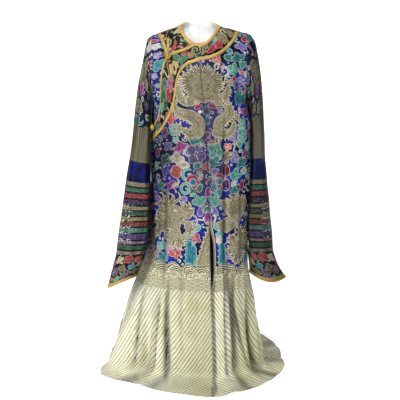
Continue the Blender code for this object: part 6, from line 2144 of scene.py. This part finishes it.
def banded(name, v0, v1, outside):
    """The lower sleeve's narrow silk bands, with dark cords between them."""
    g = Nodes(name)
    at = g.attribute("at", "Vector")
    u, v, _ = g.split(at)
    f = g.math("DIVIDE", g.math("SUBTRACT", v, v0), v1 - v0)
    f = g.math("ADD", f, g.math("MULTIPLY", g.math("SUBTRACT", g.noise(at, 14.0, 1.0), 0.5), 0.008))
    ramp = g.tree.nodes.new("ShaderNodeValToRGB")
    ramp.color_ramp.interpolation = "CONSTANT"
    el = ramp.color_ramp.elements
    while len(el) > 1:
        el.remove(el[-1])
    start = 0.0
    el[0].position, el[0].color = 0.0, srgb(BANDS[0][1])
    for (end, _), (_, nxt) in zip(BANDS[:-1], BANDS[1:]):
        e = el.new(end)
        e.color = srgb(nxt)
    g.put(ramp.inputs[0], f)
    c = ramp.outputs[0]
    seam = None
    for end, _ in BANDS[:-1]:
        d = g.math("ABSOLUTE", g.math("SUBTRACT", f, end))
        seam = d if seam is None else g.math("MINIMUM", seam, d)
    # fine ribs down each band, small woven flecks
    fleck = g.noise(g.join(g.math("MULTIPLY", u, 0.35), v), 420.0, 2.0)
    c = g.mix(g.math("MULTIPLY", g.ramp(fleck, 0.52, 0.70), 0.35), c, srgb("d8d2b8"))
    c = g.mix(g.math("MULTIPLY", g.ramp(fleck, 0.48, 0.30), 0.35), c, srgb("181420"))
    # silver-white thread worn through near the cords, lit as a painted glint only on the outer half
    side_way = g.math("MULTIPLY", u, outside)
    where = g.math("MULTIPLY", g.ramp(f, 0.26, 0.34), g.ramp(f, 0.90, 0.80))
    where = g.math("MULTIPLY", where, g.ramp(side_way, -0.005, 0.022))
    dash = g.ramp(g.noise(g.join(g.math("MULTIPLY", u, 1.0), g.math("MULTIPLY", v, 1.6)), 120.0, 1.0), 0.54, 0.60)
    glint = g.math("MULTIPLY", g.math("MULTIPLY", where, dash), g.ramp(seam, 0.022, 0.012))
    cordline = g.ramp(seam, 0.0135, 0.0095)
    c = g.mix(cordline, c, srgb("060509"))
    c = g.mix(glint, c, srgb("e6e4dc"))
    c = lining_and_inner_shade(g, v, shaded(g, c, 0.85))
    h = g.math("SUBTRACT", g.math("MULTIPLY", fleck, 0.3), g.math("MULTIPLY", g.ramp(seam, 0.012, 0.0), 0.8))
    g.set(Base_Color=c, Roughness=0.48, Normal=g.bump(h, 0.6, 0.0009))
    g.bsdf.inputs["Sheen Weight"].default_value = 0.01
    g.bsdf.inputs["Specular IOR Level"].default_value = 0.14
    return g.mat


def facing(name):
    return patterned(name, srgb("06050a"), srgb("16120c"), False, stripes=False, outline="b8ad7c")


MATERIALS = {
    "brocade": patterned("brocade", srgb("030324"), srgb("10228a"), True),
    "sleeve": patterned("sleeve", srgb("06061f"), srgb("0c1444"), False, sleeve=True, gold_dim=0.7),
    "facing_silk": facing("facing_silk"),
    "gold_braid": braid(),
    "gilt": gilt(),
    "blue_silk": plain_blue(),
}
for side in (-1, 1):
    MATERIALS["striped_" + WORD[side]] = banded("striped_silk_" + WORD[side], float(np.interp(LOWER[0], *LENGTHS[side])),
                                                float(np.interp(LOWER[1], *LENGTHS[side])), side)

# ------------------------------------------------------------------ light and backdrop
def aim(ob, look):
    from mathutils import Vector
    ob.rotation_euler = (Vector(look) - ob.location).to_track_quat("-Z", "Y").to_euler()


def lamp(name, at, look, size, power, colour=(1, 1, 1)):
    data = bpy.data.lights.new(name, "AREA")
    data.shape = "RECTANGLE"
    data.size, data.size_y = size
    data.energy = power
    data.color = colour
    ob = bpy.data.objects.new(name, data)
    ob.location = at
    aim(ob, look)
    bpy.context.scene.collection.objects.link(ob)
    return ob


lamp("key", (-1.9, -2.5, 1.3), (0, 0, -0.6), (0.9, 0.9), 61, (1.0, 0.985, 0.96))
lamp("front", (0.15, -3.2, -0.75), (0.0, 0, -1.05), (0.6, 0.9), 10)
lamp("right", (2.2, -1.8, 0.6), (0.1, 0, -0.7), (0.6, 1.4), 7, (0.95, 0.97, 1.0))
lamp("top", (0.1, -1.2, 2.2), (0, -0.3, -1.2), (1.2, 0.8), 46)
lamp("low_left", (-1.6, -1.5, -0.35), (-0.34, -0.16, -1.2), (0.6, 0.4), 20)
spot = bpy.data.lights.new("neck", "SPOT")
spot.energy, spot.spot_size, spot.spot_blend, spot.shadow_soft_size = 60.0, math.radians(9.0), 0.6, 0.03
neck = bpy.data.objects.new("neck", spot)
neck.location = (0.0, -0.85, 0.62)
aim(neck, (0.0, 0.07, -0.055))
bpy.context.scene.collection.objects.link(neck)
lamp("low_right", (0.9, -1.9, -0.25), (0.22, -0.30, -1.27), (0.5, 0.3), 13)
world = bpy.data.worlds.new("world")
bpy.context.scene.world = world
world.use_nodes = True
world.node_tree.nodes["Background"].inputs["Color"].default_value = (1, 1, 1, 1)
world.node_tree.nodes["Background"].inputs["Strength"].default_value = 0.14


def stage_plane(name, size, at, turn, glow, colour):
    bpy.ops.mesh.primitive_plane_add(size=size, location=at, rotation=turn)
    ob = bpy.context.object
    ob.name = name
    m = bpy.data.materials.new(name)
    m.use_nodes = True
    b = m.node_tree.nodes["Principled BSDF"]
    b.inputs["Base Color"].default_value = (colour, colour, colour, 1)
    b.inputs["Roughness"].default_value = 0.9
    b.inputs["Specular IOR Level"].default_value = 0.0
    b.inputs["Emission Color"].default_value = (1, 1, 1, 1)
    b.inputs["Emission Strength"].default_value = glow
    ob.data.materials.append(m)
    return ob


stage_plane("floor", 7.4, (0, 3.05, -FLOOR - 0.001), (0, 0, 0), 0.80, 0.8)
stage_plane("backdrop", 6.4, (0, 5.5, 0.9), (math.radians(90), 0, 0), 1.0, 0.5)
bpy.context.scene.view_settings.view_transform = "Standard"
bpy.context.scene.view_settings.look = "None"

# ------------------------------------------------------------------ into the frame
SLOTS = {
    "body_left_front": "brocade", "body_left_back": "brocade", "body_right_front": "brocade",
    "body_right_back": "brocade", "front_overlap": "brocade",
    "sleeve_right_upper": "brocade", "sleeve_left_upper": "brocade",
    "sleeve_right_band": "blue_silk", "sleeve_left_band": "blue_silk",
    "sleeve_right_lower": "striped_silk", "sleeve_left_lower": "striped_silk",
    "cuff_right": "facing_silk", "cuff_left": "facing_silk",
    "neck_facing": "facing_silk", "lapel_facing": "facing_silk",
    "button_collar": "gilt", "button_side": "gilt",
}
for name, ob in PIECES.items():
    slot = SLOTS.get(name, "gold_braid")
    ob.data.materials.clear()
    look = {"sleeve_right_lower": "striped_right", "sleeve_left_lower": "striped_left",
            "sleeve_right_upper": "sleeve", "sleeve_left_upper": "sleeve"}.get(name, slot)
    ob.data.materials.append(MATERIALS[look])
    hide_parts(name)
    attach(ob, "root")
